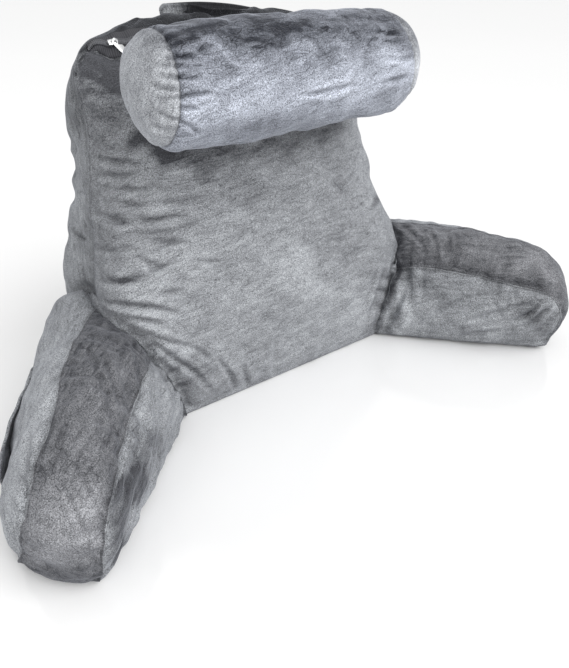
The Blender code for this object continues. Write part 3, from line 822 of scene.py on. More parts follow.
# back cushion
backFinish = {
    "stuffing": {**stuffing, "bending": 0.06, "slack": 0.035, "gather": 0.05, "frames": 18,
                 "evening": 16, "limit": 0.0035, "gain": 1.1},
    "lumps": (0.0013, 0.085, 0.035, 0.45),   # depth, broad and fine length, share of the fine
    "seamDepth": 0.0022,
    "seamWidth": 0.0045,
    # depth, length and reach of its puckers; their shares at front seam, rear seam and foot
    "puckers": (0.0055, 0.028, 0.040),
    "puckerShare": (1.0, 0.15, 0.2),
    "finePuckers": (0.0022, 0.015, 0.022),
    "rootPuckers": (0.0030, 0.034, 0.026),
    "rootGroove": (0.0080, 0.009),           # depth and reach, where an arm is sewn on
    "rightShare": 0.40,      # how much of the puckers its right side has, where it is drawn tight
    "foot": 0.003,           # radius to which its lower edge is turned in
    "floorFade": 0.014,      # height below which its lumps and creases fade
    "topDark": 0.68,         # how much darker what faces up is painted: the pile's lay in part, painted shade in part
    # change, width px, then the stroke; the first two and the one from (138, 138) are painted shadow under
    # the roll
    "strokes": [
        (-0.46, 11, (142, 146), (166, 152)),
        (-0.30, 13, (176, 158), (260, 150), (330, 132)),
        (-0.20, 26, (92, 64), (108, 98)),
        (-0.12, 13, (94, 58), (106, 84)),
        (-0.15, 16, (214, 178), (260, 196)),
        (-0.07, 12, (326, 240), (336, 262)),
        (-0.08, 20, (100, 130), (104, 240)),
        (-0.08, 14, (342, 170), (352, 246)),
        (0.14, 12, (134, 328), (176, 352)),
        (0.10, 16, (200, 235), (300, 262)),
        (0.12, 22, (300, 285), (350, 300)),
        (0.10, 14, (120, 292), (196, 262)),
        (-0.12, 7, (150, 232), (206, 226)),
        (-0.10, 6, (206, 262), (262, 254)),
        (-0.12, 5, (232, 206), (282, 190)),
        (0.10, 5, (170, 184), (222, 176)),
        (-0.14, 10, (74, 80), (76, 130)),
        (0.14, 8, (77, 196), (76, 284)),
        (-0.24, 8, (138, 138), (160, 146), (186, 151)),
        (-0.10, 14, (198, 376), (216, 398)),
    ],
    # depth mm, width px, then the line
    "folds": [
        (4.5, 3.2, (92, 158), (112, 162), (140, 163)),
        (3.5, 3.0, (94, 176), (115, 178), (135, 174)),
        (3.5, 3.0, (113, 190), (140, 191), (162, 187)),
        (3.0, 3.0, (112, 202), (130, 206), (150, 206)),
        (4.2, 3.4, (94, 214), (112, 219), (133, 226)),
        (4.5, 3.8, (128, 221), (155, 221), (187, 217)),
        (3.0, 3.0, (160, 204), (185, 202), (207, 197)),
        (3.0, 3.2, (146, 243), (165, 244), (190, 243)),
        (2.8, 3.4, (96, 250), (112, 252), (138, 248)),
        (4.0, 3.6, (136, 258), (150, 266), (166, 267)),
        (3.0, 2.6, (196, 262), (212, 263), (224, 261)),
        (3.6, 3.4, (96, 281), (118, 285), (142, 281)),
        (4.0, 3.2, (158, 296), (172, 293), (186, 291)),
        (5.5, 3.4, (100, 302), (125, 306), (150, 309), (184, 314)),
        (3.5, 3.2, (128, 318), (150, 322), (172, 330)),
        (2.6, 2.8, (143, 333), (165, 341), (196, 349), (214, 362)),
        (4.5, 3.0, (150, 340), (171, 357), (196, 374), (214, 394)),
        (4.0, 2.6, (217, 357), (231, 376), (237, 396)),
        (3.0, 2.6, (240, 360), (246, 376), (249, 392)),
        (4.5, 2.6, (386, 262), (383, 284), (376, 306), (366, 326)),
        (3.0, 2.4, (376, 268), (372, 292), (362, 314)),
    ],
}


def backEased(creases, points, normals, distance, run, which, rootGap):
    # short gathers along the front seam; all fade off the front, beside the arms and to the right
    fine = puckers(distance, run, *backFinish["finePuckers"], 12) * (which == 0)
    facing = 0.25 + 0.75 * smoothStep(-normals[:, 1], 0.3, 0.7)
    loose = 1 - (1 - backFinish["rightShare"]) * smoothStep(points[:, 0], 0.02, 0.14)
    return (creases * smoothStep(rootGap, 0.0, 0.05) + fine) * facing * loose


backPiece, backMesh, backPaths = sewn(
    "backCushion", back["cuts"], lambda s: backPoint(2 * s[:, 0] - 1, s[:, 1], s[:, 2]),
    (1, 1, 0, 0, 1, 1), (frontPlush, gussetPlush),
    ([(0, 0, 0), (0, 0, 1), (1, 0, 1), (1, 0, 0)],
     [(0, 1, 0), (0, 1, 1), (1, 1, 1), (1, 1, 0)],
     [(0, 0, 0), (1, 0, 0), (1, 1, 0), (0, 1, 0), (0, 0, 0)]), [2], backFinish["stuffing"])
report("back cushion filled")

# arms: sewn to the back, so each starts where its cloth leaves the back's
armFinish = {
    "stuffing": {**stuffing, "bending": 0.05, "slack": 0.035, "gather": 0.05, "frames": 16,
                 "evening": 14, "limit": 0.0026, "gain": 1.0},
    "lumps": (0.0013, 0.07, 0.03, 0.4),
    "seamDepth": 0.0014,
    "seamWidth": 0.0036,
    "puckers": (0.0030, 0.026, 0.022),
    "puckerShare": (1.0, 1.0, 0.3),
    "rootPuckers": (0.0032, 0.030, 0.030),
    "rootGroove": (0.0060, 0.010),
    "floorFade": 0.014,
    "foot": 0.014,
    "buried": 0.012,         # share of the length that lies under the back's cloth
    "foldsLeft": [
        (1.8, 3.4, (86, 345), (98, 372), (110, 402), (116, 432)),
        (1.5, 3.0, (100, 350), (112, 378), (122, 410)),
        (1.6, 3.0, (72, 462), (90, 494), (108, 530)),
        (1.8, 3.0, (86, 462), (100, 488), (112, 514)),
        (1.6, 3.0, (60, 480), (74, 510), (88, 540)),
        (1.8, 3.4, (141, 430), (134, 462), (126, 496)),
        (1.6, 3.0, (128, 470), (123, 500), (114, 520)),
        (2.4, 3.2, (132, 340), (141, 372), (145, 410)),
        (3.5, 3.0, (56, 392), (48, 418), (42, 446)),
        (3.0, 2.6, (31, 424), (26, 452), (23, 476)),
        (3.0, 3.0, (20, 478), (24, 500), (22, 520)),
        (3.5, 2.8, (160, 366), (170, 384), (176, 404)),
    ],
    "foldsRight": [
        (3.0, 2.6, (397, 242), (391, 256), (397, 268), (388, 282)),
        (5.0, 3.0, (404, 292), (395, 312), (384, 332)),
        (5.0, 2.6, (552, 305), (538, 316), (520, 328)),
        (4.5, 2.6, (538, 306), (526, 316), (510, 323)),
        (3.5, 2.6, (524, 304), (492, 314), (462, 322)),
        (3.0, 2.4, (500, 330), (474, 334), (450, 340)),
        (3.0, 2.6, (470, 296), (448, 306), (426, 322)),
        (1.0, 2.4, (427, 224), (434, 238), (437, 254)),
        (0.8, 2.4, (447, 229), (448, 242), (445, 254)),
        (1.6, 2.6, (398, 222), (412, 232), (424, 246)),
        (0.8, 2.4, (500, 238), (492, 250), (488, 264)),
        (2.4, 2.6, (386, 222), (398, 236), (396, 250)),
    ],
    "strokesLeft": [
        (-0.18, 8, (131, 478), (123, 512), (113, 548)),
        (0.10, 10, (118, 374), (108, 398)),
        (0.46, 21, (52, 506), (94, 500)),
        (0.42, 19, (46, 544), (86, 540)),
        (0.10, 16, (96, 430), (84, 450)),
        (-0.30, 7, (16, 572), (95, 582)),
        (0.20, 10, (54, 350), (38, 412), (14, 478), (6, 530)),
        (-0.34, 14, (154, 436), (140, 472)),
        (-0.46, 13, (134, 474), (124, 512), (113, 556)),
        (-0.12, 12, (92, 330), (130, 344)),
    ],
    # on the right arm, painted shade in the creases at its root and front corner, with painted highlight
    # beside them
    "strokesRight": [
        (0.20, 10, (524, 262), (545, 276), (556, 300)),
        (0.16, 8, (397, 286), (402, 314)),
        (0.17, 22, (425, 238), (535, 264)),
        (-0.20, 9, (392, 224), (402, 262), (392, 286)),
        (0.12, 16, (404, 314), (500, 318)),
        (-0.20, 9, (528, 312), (550, 330)),
        (-0.10, 8, (400, 280), (440, 284)),
        (0.26, 8, (404, 298), (398, 328)),
        (-0.25, 5, (382, 332), (392, 298), (397, 274)),
    ],
}


def armStart(side, surface, rows, columns):
    # share of the arm's length that is under the back's cloth, for each of its rows
    across, up = crossings(np.linspace(0, 1, rows), np.linspace(0, 1, columns))
    start = np.zeros(rows * columns)
    for share in np.linspace(0.0, 0.5, 51):
        height, _, _ = heightOver(surface, armPoint(np.full(len(up), share), across, up, side))
        start = np.where(height < 0, share, start)
    start = np.clip(start - armFinish["buried"], 0, 1).reshape(rows, columns)
    for _ in range(3):
        padded = np.pad(start, 1, mode="edge")
        start = sum(padded[i:i + rows, j:j + columns] for i in range(3) for j in range(3)) / 9
    return start


def makeArm(name, side, surface):
    cuts = arm["cuts"]
    start = armStart(side, surface, cuts[1] + 1, cuts[2] + 1)

    def pattern(s):
        begin = start[np.rint(s[:, 1] * cuts[1]).astype(int), np.rint(s[:, 2] * cuts[2]).astype(int)]
        return armPoint(begin + (1 - begin) * s[:, 0], s[:, 1], s[:, 2], side)

    which = int(side > 0)
    return sewn(name, cuts, pattern, (1, 0, 1, 1, 1, 0), (stripPlush[which], wallPlush[which]),
                ([(0, 0, 1), (1, 0, 1), (1, 0, 0)],
                 [(0, 1, 1), (1, 1, 1), (1, 1, 0)],
                 [(0, 0, 0), (1, 0, 0), (1, 1, 0), (0, 1, 0)],
                 [(0, 0, 0), (0, 0, 1), (0, 1, 1), (0, 1, 0)]), [2, 0], armFinish["stuffing"],
                mirrored=side < 0)


bareBack = surfaceOf(backMesh)
leftPiece, leftMesh, armPaths = makeArm("armLeft", -1, bareBack)
rightPiece, rightMesh, _ = makeArm("armRight", 1, bareBack)
armRoots = [readPoints(mesh)[armPaths[3]] for mesh in (leftMesh, rightMesh)]
dress(backMesh, backPaths, armRoots, backFinish, backFinish["folds"], backFinish["strokes"],
      (1, 5, 9), backEased, backFinish["topDark"])
for mesh, root, hand, seed in ((leftMesh, armRoots[0], "Left", 21), (rightMesh, armRoots[1], "Right", 41)):
    dress(mesh, armPaths, [root], armFinish, armFinish["folds" + hand], armFinish["strokes" + hand],
          (seed, seed + 2, seed + 5))
backSurface = surfaceOf(backMesh)
report("arms filled and sewn to the back")

# neck roll: a stuffed tube with a round cap sewn into each end
rollFinish = {
    "stuffing": {**stuffing, "bending": 0.04, "slack": 0.03, "gather": 0.04, "frames": 14,
                 "evening": 10, "limit": 0.0020, "gain": 1.0},
    "lumps": (0.0012, 0.06, 0.025, 0.4),
    "seamDepth": 0.0013,
    "seamWidth": 0.0026,
    "puckers": (0.0010, 0.016, 0.020),
    "clear": 0.0008,         # how far its cloth keeps off the back's
    "folds": [
        (2.6, 2.8, (160, 60), (180, 58), (208, 59)),
        (2.4, 2.4, (150, 66), (168, 66), (188, 68)),
        (3.0, 2.6, (158, 77), (176, 79), (202, 79)),
        (2.6, 2.4, (147, 84), (164, 90), (180, 92)),
        (4.0, 2.8, (170, 99), (186, 98), (216, 93)),
        (2.6, 2.4, (178, 109), (190, 109), (200, 111)),
        (2.8, 2.4, (152, 108), (166, 118), (184, 121)),
        (2.8, 2.4, (180, 122), (190, 126), (200, 136)),
        (2.0, 2.4, (148, 124), (160, 130), (174, 132)),
        (1.6, 2.4, (138, 46), (156, 42), (176, 40)),
        (3.5, 3.0, (300, 96), (330, 92), (356, 84)),
        (2.0, 2.6, (352, 34), (376, 32), (404, 36)),
        (1.2, 2.6, (380, 44), (400, 42), (414, 38)),
        (2.0, 2.4, (386, 60), (404, 60), (418, 56)),
        (3.0, 2.4, (380, 84), (398, 80), (412, 74)),
    ],
    # the roll's top painted darker and a lighter band along its lower front, the pile's lay in part and
    # painted light and shade in part; dark lines along its folds and on the right cap's rim are painted
    # shade
    "strokes": [
        (-0.34, 20, (150, 30), (270, 26), (400, 18)),
        (-0.18, 13, (176, 34), (230, 30), (304, 24)),
        (-0.14, 14, (190, 68), (290, 60), (390, 46)),
        (0.10, 10, (228, 74), (280, 66), (338, 58)),
        (0.13, 10, (346, 110), (392, 86), (410, 68)),
        (-0.10, 10, (236, 132), (300, 126)),
        (-0.22, 6, (414, 22), (421, 42)),
        (0.14, 9, (394, 56), (414, 62)),
        (0.26, 15, (186, 118), (290, 100), (404, 66)),
        (-0.16, 5, (172, 57), (204, 57)),
        (-0.14, 5, (184, 97), (210, 94)),
        (-0.16, 4, (180, 78), (200, 79)),
        (0.09, 2.4, (206, 46), (232, 54), (262, 70)),
        (0.09, 2.4, (232, 30), (270, 38), (300, 52)),
        (0.07, 2.4, (196, 40), (216, 46), (240, 60)),
        (0.08, 2.4, (300, 28), (330, 40), (352, 54)),
        (0.06, 2.4, (250, 24), (286, 32), (318, 46)),
        (-0.08, 2.4, (212, 38), (244, 46), (280, 62)),
        (-0.08, 2.4, (260, 32), (296, 42), (326, 58)),
        (-0.07, 2.4, (318, 24), (350, 36), (378, 48)),
    ],
}


def makeRoll():
    piece, mesh, paths = sewn(
        "neckRoll", roll["cuts"], lambda s: rollPoint(*(2 * s[:, k] - 1 for k in range(3))),
        (1, 1, 0, 0, 0, 0), (rollPlush, capPlush),
        [[(x, 0, 0), (x, 1, 0), (x, 1, 1), (x, 0, 1), (x, 0, 0)] for x in (0, 1)], [],
        rollFinish["stuffing"])
    points, normals = readPoints(mesh), readNormals(mesh)
    distance, run, _ = nearSeams(points, [points[path] for path in paths])
    creases = puckers(distance, run, *rollFinish["puckers"], 63)
    creases += folds(points, normals, rollFinish["folds"])
    creases -= rollFinish["seamDepth"] * np.exp(-(distance / rollFinish["seamWidth"])**2)
    points = points + normals * (lumpsOf(points, rollFinish, 61) + creases)[:, None]
    rear = np.flatnonzero(points[:, 1] > -0.02)      # where it lies against the back
    height, _, outs = heightOver(backSurface, points[rear])
    points[rear] += outs * np.clip(rollFinish["clear"] - height, 0, 0.02)[:, None]
    writeCloth(mesh, points, normals, creases, distance, rollFinish["strokes"])
    return piece


rollPiece = makeRoll()
report("neck roll filled")

# carry handle: a doubled strip of the cloth, edge-stitched and sewn down as a loop on its edge
strap = {
    "width": 0.020,
    "thick": 0.0032,
    "left": -0.066,
    "right": 0.088,
    "y": 0.196,
    "open": 0.030,           # width over its two runs
    "leftTurn": 0.0080,
    "rightTurn": 0.0045,
    "leanBack": 17.0,        # degrees, its rear run
    "leanOut": 40.0,         # degrees, its front run, which falls open
    "sink": 0.002,           # how much lower the front run is sewn
    "foot": 0.506,
    "drop": 0.012,           # how much lower it is sewn at its right end
    "steps": 160,
    "stitchRow": 0.0028,     # how far the stitching runs in from each edge
    "bend": 0.07,            # share of its length over which its fold rounds off
    "sway": 0.0012,
    "loopLayAndShade": (-0.75, -0.85),  # how dark it is painted, outside and inside the loop: the pile's lay and painted shade outside, painted shade in the hollow inside
    "darkFrom": (-0.060, -0.008),
}


def strapOutline(angle, share, inset):
    left, right = strap["left"] + inset, strap["right"] - 2 * inset
    end = strap["rightTurn"] + (strap["leftTurn"] - strap["rightTurn"]) * (1 - share)
    belly = (0.5 * strap["open"] - end) * np.sin(np.pi * share**0.85)**1.3
    half = (end - inset) * np.abs(np.sin(angle))**0.4 + belly
    return np.stack([left + (right - left) * share, strap["y"] - np.sign(np.sin(angle)) * half + centreY,
                     strap["foot"] - strap["drop"] * share**3], axis=1)


def makeStrap():
    steps, row = strap["steps"], strap["stitchRow"] / strap["width"]
    angle = 2 * np.pi * (np.arange(steps) + 0.5) / steps
    share = 0.5 - 0.5 * np.cos(angle)
    outer, inner = (strapOutline(angle, share, inset) for inset in (0.0, strap["thick"]))
    # its front run falls open; lean to the front in radians, and how tall the strip stands
    opened = (np.sin(angle) > 0) * smoothStep(share, 0.10, 0.42) * (1 - smoothStep(share, 0.85, 1.0))
    lean = np.radians(strap["leanOut"] * opened - strap["leanBack"] * (1 - opened))
    tall = strap["width"] * (0.5 + 0.5 * np.sqrt(1 - (1 - np.clip(share / strap["bend"], 0, 1))**2))
    sway = strap["sway"] * waves(outer, 0.05, 71)
    # the strip's section: share of its thickness and of its width
    section = [(0.0, 0.05), (0.04, row), (-0.06, 0.3), (-0.10, 0.5), (-0.06, 0.7), (0.04, 1 - row),
               (0.0, 0.95), (0.3, 1.0), (0.7, 1.0), (1.0, 0.95), (0.96, 1 - row), (1.06, 0.7),
               (1.10, 0.5), (1.06, 0.3), (0.96, row), (1.0, 0.05), (0.7, 0.0), (0.3, 0.0)]
    count = len(section)
    points = np.empty((steps, count, 3))
    for j, (u, rise) in enumerate(section):
        points[:, j] = outer * (1 - u) + inner * u
        points[:, j, 1] += sway * rise - np.sin(lean) * tall * rise
        points[:, j, 2] += np.cos(lean) * tall * rise - strap["sink"] * opened
    quads = [[k * count + j, (k + 1) % steps * count + j, (k + 1) % steps * count + (j + 1) % count,
              k * count + (j + 1) % count] for k in range(steps) for j in range(count)]
    piece = makePiece("carryHandle", points.reshape(-1, 3), quads, [gussetPlush])
    toStitch = np.tile([abs(0.5 - abs(rise - 0.5) - row) for _, rise in section], steps)
    writeLayer(piece.data, "seamDistance", 1000 * strap["width"] * toStitch + 0.6)
    # painted shade: the loop darkens from near its left end rightwards, most on its inside faces
    inside = np.tile([smoothStep(u, 0.2, 0.9) for u, _ in section], steps)
    outerLayAndShade, innerShade = strap["loopLayAndShade"]
    writeLayer(piece.data, "napLayAndShade", (outerLayAndShade + (innerShade - outerLayAndShade) * inside)
               * smoothStep(readPoints(piece.data)[:, 0], *strap["darkFrom"]))
    return piece


strapPiece = makeStrap()
report("carry handle folded")

# side pocket: a patch of the same cloth on the outer wall of the left arm
pocket = {
    "span": (0.38, 0.78),    # shares of the arm's length
    "mouth": (0.69, 0.47),   # shares of the wall's height, at each end of the span
    "foot": 0.08,
    "cuts": (72, 40),
    "thick": 0.0022,
    "sink": 0.0006,          # how far its rim goes into the arm's cloth
    "gape": 0.0100,          # how far its mouth stands off
    "size": (0.17, 0.12),    # m, nearly; it places the stitching
    "stitchIn": 0.004,
    "hemFrom": 0.88,         # share of its height where the doubled band begins
    "hemThick": 0.0009,
}


def outwards(shape, across, up, step=1e-3):
    # the direction in which a mapped surface faces
    return unit(np.cross(shape(across + step, up) - shape(across - step, up),
                         shape(across, up + step) - shape(across, up - step)))


def closedSheet(rows, columns):
    # quads of a thin sheet: its lower points are numbered first, then its upper ones
    index = np.arange(rows * columns).reshape(rows, columns)
    size, quads = rows * columns, []
    for i in range(rows - 1):
        for j in range(columns - 1):
            ring = index[[i, i + 1, i + 1, i], [j, j, j + 1, j + 1]].tolist()
            quads += [[k + size for k in ring], ring[::-1]]
    rim = np.concatenate([index[:, 0], index[-1, 1:], index[-2::-1, -1], index[0, -2:0:-1]]).tolist()
    for p, q in zip(rim, rim[1:] + rim[:1]):
        quads.append([p, q, q + size, p + size])
    return quads


def pocketWall(share, up):
    return armPoint(share, np.ones_like(share), up, -1)


def makePocket():
    rows, columns = pocket["cuts"][0] + 1, pocket["cuts"][1] + 1
    a, h = crossings(np.linspace(0, 1, rows), np.linspace(0, 1, columns))
    share, mouth = (start + (end - start) * a for start, end in (pocket["span"], pocket["mouth"]))
    up = pocket["foot"] + (mouth - pocket["foot"]) * h
    out = outwards(pocketWall, share, up)
    _, ground, _ = heightOver(surfaceOf(leftMesh), pocketWall(share, up))
    lift = pocket["gape"] * np.clip(np.sin(np.pi * a**2.8), 0, 1)**0.8 * h**1.2
    wide, tall = pocket["size"]
    edge = np.minimum(np.minimum(a, 1 - a) * wide, h * tall)     # distance to the sewn edges
    hemBand = smoothStep(h, pocket["hemFrom"] - 0.02, pocket["hemFrom"] + 0.02)
    body = (pocket["thick"] * (0.35 + 0.65 * smoothStep(edge, 0.0, pocket["stitchIn"]))
            + pocket["hemThick"] * hemBand)
    base = ground + out * (lift - pocket["sink"])[:, None]
    piece = makePiece("sidePocket", np.concatenate([base, base + out * body[:, None]]),
                      closedSheet(rows, columns), [wallPlush[0]])
    faced = bmesh.new()
    faced.from_mesh(piece.data)
    bmesh.ops.recalc_face_normals(faced, faces=faced.faces)
    faced.to_mesh(piece.data)
    faced.free()
    stitch = np.minimum(np.abs(edge - pocket["stitchIn"]), np.abs(h - pocket["hemFrom"]) * tall)
    writeLayer(piece.data, "seamDistance", 1000 * np.concatenate([stitch, stitch]))
    return piece


pocketPiece = makePocket()
report("side pocket sewn on")

# zip: woven polyester tape with a coil of nylon teeth, and a nickel-plated slider
zipper = {
    "span": (-0.97, 0.97),   # shares of the back's half width
    "tape": (0.022, 0.308),  # shares of its depth, as is the chain
    "chain": (0.118, 0.182),
    "tapeCuts": (160, 15),
    "chainSteps": 900,
    "tapeRise": 0.0010,
    "tapeSink": 0.0004,
    "toothPitch": 0.0021,
    "toothRise": 0.0016,
    "slider": -0.817,
}


def onTop(across, through, rise):
    # places over the cushion's own cloth along its top
    def top(a, t):
        return backPoint(a, t, np.ones_like(a))

    _, places, _ = heightOver(backSurface, top(across, through))
    out = outwards(top, across, through)
    return places + out * rise, out


def wovenTape():
    # polyester tape: matt, with the ribs of its warp, drawn coarser than they are so that they show
    made, tree, shader = startMaterial("wovenPolyesterTape", {"Roughness": 0.85})
    place = addNode(tree, "ShaderNodeTexCoord").outputs["Object"]
    ribs = addNode(tree, "ShaderNodeTexWave", {"Vector": place, "Scale": 0.314 * perMetre(2.76),
                                              "Distortion": 1.5, "Detail": 2.0},
                   bands_direction="X").outputs["Fac"]         # at scale 1 its bands are 0.314 m apart
    fibre = addNode(tree, "ShaderNodeTexNoise", {"Vector": place, "Scale": perMetre(0.9),
                                                "Detail": 3.0}).outputs["Fac"]
    mixed = addNode(tree, "ShaderNodeMath", {0: ribs, 1: fibre}, operation="MULTIPLY").outputs[0]
    tone = addNode(tree, "ShaderNodeMix", {0: mixed, 6: linear("#2C2C30"), 7: linear("#55565B")},
                   data_type="RGBA").outputs[2]
    tree.links.new(tone, shader.inputs["Base Color"])
    bump = addNode(tree, "ShaderNodeBump", {"Height": mixed, "Strength": 0.5, "Distance": 0.0003})
    tree.links.new(bump.outputs[0], shader.inputs["Normal"])
    return made


def nylonTeeth():
    # nylon monofilament: smooth, a little glossy, with lint in places
    made, tree, shader = startMaterial("nylonCoil", {"Roughness": 0.42, "IOR": 1.53})
    place = addNode(tree, "ShaderNodeTexCoord").outputs["Object"]
    lint = addNode(tree, "ShaderNodeTexNoise", {"Vector": place, "Scale": perMetre(4.0)}).outputs["Fac"]
    tone = addNode(tree, "ShaderNodeMix", {0: lint, 6: linear("#3C3D42"), 7: linear("#6A6B70")},
                   data_type="RGBA").outputs[2]
    tree.links.new(tone, shader.inputs["Base Color"])
    return made


def nickelPlate():
    # nickel-plated zinc: bright, mirror-like, with faint handling marks
    made, tree, shader = startMaterial("nickelPlatedZinc", {"Base Color": linear("#DADBDC"),
                                                            "Metallic": 1.0})
    place = addNode(tree, "ShaderNodeTexCoord").outputs["Object"]
    marks = addNode(tree, "ShaderNodeTexNoise", {"Vector": place, "Scale": perMetre(3.0),
                                                "Detail": 4.0}).outputs["Fac"]
    rough = addNode(tree, "ShaderNodeMapRange", {"Value": marks, "To Min": 0.14, "To Max": 0.34})
    tree.links.new(rough.outputs["Result"], shader.inputs["Roughness"])
    return made


def makeTape():
    # a closed strip that lies on the cushion
    rows, columns = zipper["tapeCuts"]
    across, through = crossings(np.linspace(*zipper["span"], rows), np.linspace(*zipper["tape"], columns))
    low, out = onTop(across, through, -zipper["tapeSink"])
    top = low + out * (zipper["tapeRise"] + zipper["tapeSink"])
    return makePiece("zipTape", np.concatenate([low, top]), closedSheet(rows, columns),
                     [wovenTape()])


def makeChain():
    near, far = zipper["chain"]
    steps = np.arange(zipper["chainSteps"])
    path, out = onTop(np.linspace(*zipper["span"], len(steps)), np.full(len(steps), 0.5 * (near + far)),
                      zipper["tapeRise"])
    path = evened(path, np.stack([steps[:-1], steps[1:]], axis=1), 6)
    run = lengthAlong(path)
    edges = [onTop(np.array([0.0]), np.array([edge]), 0)[0] for edge in (far, near)]
    wide = 0.5 * np.linalg.norm(edges[0] - edges[1])
    pitch, rise = zipper["toothPitch"], zipper["toothRise"]
    # one tooth, as a bent strap: sideways, half width along the chain, height
    section = ((-0.2, 0.30, 0.0), (-0.2, 0.34, 0.8), (-0.1, 0.30, 1.0), (0.55, 0.34, 1.0),
               (0.95, 0.30, 0.7), (1.0, 0.22, 0.0))
    rings = [[2 * j, 2 * j + 1, 2 * j + 3, 2 * j + 2] for j in range(5)]
    rings += [[0, 2, 4, 6], [0, 6, 8, 10], [1, 7, 5, 3], [1, 11, 9, 7], [10, 11, 1, 0]]
    points, quads = [], []
    for k in range(int(run[-1] / (pitch / 2))):
        at = k * pitch / 2
        centre = np.array([np.interp(at, run, path[:, axis]) for axis in range(3)])
        i = min(int(np.searchsorted(run, at)), len(path) - 2)
        along, up = unit(np.stack([path[i + 1] - path[i], out[i]]))
        side = np.cross(up, along) * (1 if k % 2 else -1)
        quads += [[n + len(points) for n in ring] for ring in rings]
        points += [centre + side * wide * s + along * e * w * pitch + up * h * rise
                   for s, w, h in section for e in (-1, 1)]
    return makePiece("zipChain", np.array(points), quads, [nylonTeeth()])


slider = {
    "body": (0.012, 0.0090, 0.0040),
    "bevel": 0.00045,
    "rest": 0.00150,
    "bailRise": 0.0019,
    "bailWire": 0.0007,      # radius of its wire
    "pull": (0.025, 0.0100, 0.0020),
    "eye": 0.0021,           # radius of the hole near the pull's upper end
    "eyeAt": 0.0042,
    "hung": (0.0, 0.0028, 0.0004),       # where the pull hangs from the body's top
    "swing": 38.0,           # degrees, how far the pull hangs to the side
    "droop": -15.0,
}


def bridged(bm, loops):
    # faces between each loop of points and the next
    for first, second in zip(loops, loops[1:]):
        count = len(first)
        for k in range(count):
            j = (k + 1) % count
            bm.faces.new((first[k], first[j], second[j], second[k]))


def solidFrom(bm, place, name, finish):
    bmesh.ops.recalc_face_normals(bm, faces=bm.faces)
    bmesh.ops.transform(bm, matrix=place, verts=bm.verts)
    mesh = bpy.data.meshes.new(name)
    bm.to_mesh(mesh)
    bm.free()
    mesh.shade_smooth()
    mesh.set_sharp_from_angle(angle=math.radians(35))
    mesh.materials.append(finish)
    return addObject(name, mesh)


def sliderBlock():
    # two wings, lower and upper, and the post between them
    length, width, high = slider["body"]
    bm = bmesh.new()
    for level, thick in ((0.0, 0.30), (0.62, 0.38)):
        for v in bmesh.ops.create_cube(bm, size=1.0)["verts"]:
            v.co.x *= length
            v.co.y *= width * (1.0 if v.co.x > 0 else 0.72)
            v.co.z = (v.co.z + 0.5) * thick * high + level * high
    for v in bmesh.ops.create_cube(bm, size=1.0)["verts"]:
        v.co = (v.co.x * 0.25 * length + 0.25 * length, v.co.y * 0.28 * width, (v.co.z + 0.5) * high)
    bmesh.ops.bevel(bm, geom=bm.edges[:], offset=slider["bevel"], segments=2, affect="EDGES", profile=0.6)
    return bm


def bailWire(steps=16, sides=8):
    # a bow of wire over the body, which carries the pull
    length, _, high = slider["body"]
    bm = bmesh.new()
    rings = []
    for k in range(steps + 1):
        turn = math.pi * k / steps
        centre = Vector((-0.30 * length * math.cos(turn), 0.0, high + slider["bailRise"] * math.sin(turn)))
        inward = Vector((math.cos(turn), 0.0, -math.sin(turn)))
        ring = []
        for j in range(sides):
            angle = 2 * math.pi * j / sides
            spoke = math.cos(angle) * inward + math.sin(angle) * Vector((0, 1, 0))
            ring.append(bm.verts.new(centre + slider["bailWire"] * spoke))
        rings.append(ring)
    bridged(bm, rings)
    bm.faces.new(rings[0])
    bm.faces.new(rings[-1][::-1])
    return bm


def pullPlate(steps=40):
    # a plate with rounded ends, eased edges and a round hole
    length, width, thick = slider["pull"]
    holeAt = slider["eyeAt"]
    bm = bmesh.new()

    def loop(places, z, shrunk=(1.0, 1.0)):
        return [bm.verts.new((x * shrunk[0], holeAt + (y - holeAt) * shrunk[1], z)) for x, y in places]

    turns = [(math.cos(2 * math.pi * k / steps), math.sin(2 * math.pi * k / steps)) for k in range(steps)]
    rim = [(slider["eye"] * s, holeAt + slider["eye"] * c) for c, s in turns]
    outline = [(math.copysign(abs(s)**0.55, s) * 0.5 * width,
                0.5 * length + math.copysign(abs(c)**0.6, c) * 0.5 * length) for c, s in turns]
    face = (0.9, 0.97)       # its flat faces, smaller than its outline
    loops = [loop(rim, 0.0), loop(outline, 0.0, face), loop(outline, 0.12 * thick),
             loop(outline, 0.88 * thick), loop(outline, thick, face), loop(rim, thick)]
    bridged(bm, loops + loops[:1])
    return bm


def makeSlider():
    metal = nickelPlate()
    at = np.array([zipper["slider"]])
    middle = np.array([0.5 * sum(zipper["chain"])])
    (foot, out), (ahead, _) = onTop(at, middle, 0.0), onTop(at + 0.02, middle, 0.0)
    foot, out = Vector(foot[0]), Vector(out[0])
    rear = out.cross((Vector(ahead[0]) - foot).normalized()).normalized()
    place = placeOf((rear.cross(out), rear, out), foot + out * slider["rest"])
    x, y, z = slider["hung"]
    hang = (Matrix.Translation((x, y, slider["body"][2] + z))
            @ Matrix.Rotation(math.radians(180 + slider["swing"]), 4, "Z")
            @ Matrix.Rotation(math.radians(slider["droop"]), 4, "X"))
    return (solidFrom(sliderBlock(), place, "zipSlider", metal),
            solidFrom(bailWire(), place, "zipBail", metal),
            solidFrom(pullPlate(), place @ hang, "zipPull", metal))


zipTape, zipChain = makeTape(), makeChain()
sliderBody, sliderBail, sliderPull = makeSlider()
report("zip laid in")

# floor and light
studio = {
    "floor": "#F4F4F4",
    "floorReach": 30.0,
    "floorDrop": 0.0004,     # how far it lies below the pillow, so that they don't share a plane
    "floorRoughness": 0.12,
    "floorSpecular": 0.9,
    "keyFrom": (1.0, -1.7, 1.7),
    "keySize": 50.0,         # degrees the key light fills, which softens its shadows
    "keyPower": 2.1,
    "fillFrom": (-1.6, -1.4, 0.9),
    "fillTo": (0.0, 0.0, 0.2),
    "fillSize": 1.4,
    "fillPower": 7.0,
    "sky": 0.81,
}


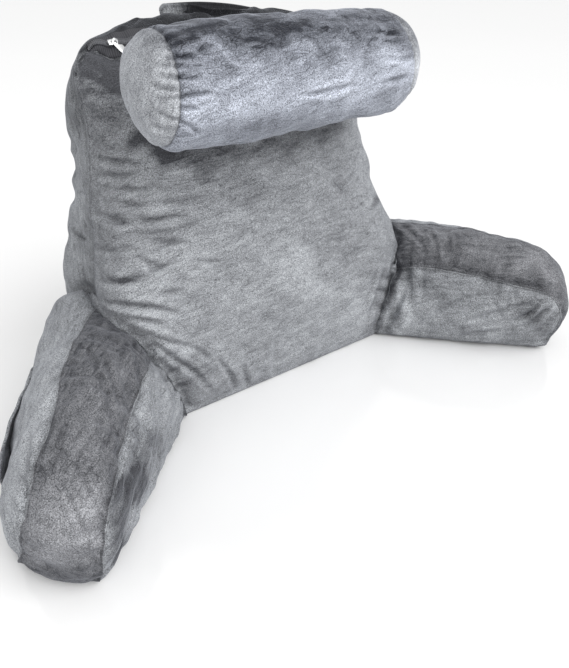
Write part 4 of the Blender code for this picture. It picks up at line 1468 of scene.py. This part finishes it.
def makeStudio():
    reach, drop = studio["floorReach"], -studio["floorDrop"]
    mesh = bpy.data.meshes.new("studioFloor")
    mesh.from_pydata([(-reach, -reach, drop), (reach, -reach, drop), (reach, reach, drop),
                      (-reach, reach, drop)], [], [(0, 1, 2, 3)])
    # glossy white laminate: pressed smooth, so it mirrors the foot of the pillow faintly
    board, _, _ = startMaterial("glossWhiteLaminate", {
        "Base Color": linear(studio["floor"]), "Roughness": studio["floorRoughness"],
        "Specular IOR Level": studio["floorSpecular"]})
    mesh.materials.append(board)
    addObject("studioFloor", mesh)
    sun = bpy.data.lights.new("keyLight", "SUN")
    sun.energy = studio["keyPower"]
    sun.angle = math.radians(studio["keySize"])
    key = addObject("keyLight", sun)
    key.rotation_euler = Vector(studio["keyFrom"]).to_track_quat("Z", "Y").to_euler()
    panel = bpy.data.lights.new("fillLight", "AREA")
    panel.shape = "DISK"
    panel.size = studio["fillSize"]
    panel.energy = studio["fillPower"]
    fill = addObject("fillLight", panel)
    fill.location = studio["fillFrom"]
    fill.rotation_euler = (Vector(studio["fillTo"]) - fill.location).to_track_quat("-Z", "Y").to_euler()
    scene.world = bpy.data.worlds.new("studioSky")
    scene.world.use_nodes = True
    sky = scene.world.node_tree.nodes["Background"]
    sky.inputs["Color"].default_value = (1.0, 1.0, 1.0, 1.0)
    sky.inputs["Strength"].default_value = studio["sky"]


makeStudio()

# what each piece stands for, and what it is made of (not used here); each is attached to the root body and
# the part it stands for is hidden
plushSlot, rollSlot = "grey_velvet_plush", "silver_grey_velvet_plush"
for piece, node, slotName in (
        (backPiece, "back_cushion", plushSlot), (leftPiece, "arm_left", plushSlot),
        (rightPiece, "arm_right", plushSlot), (rollPiece, "neck_roll", rollSlot),
        (strapPiece, "carry_handle", plushSlot), (pocketPiece, "side_pocket", plushSlot),
        (zipTape, "zip_tape", "dark_grey_zip_tape"), (zipChain, "zip_tape", "dark_grey_zip_tape"),
        (sliderBody, "zip_slider", "polished_nickel"), (sliderBail, "zip_slider", "polished_nickel"),
        (sliderPull, "zip_slider", "polished_nickel")):
    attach(piece, "root")
    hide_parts(node)
report(f"{sum(len(o.data.polygons) for o in bpy.data.objects if o.type == 'MESH')} faces in all")
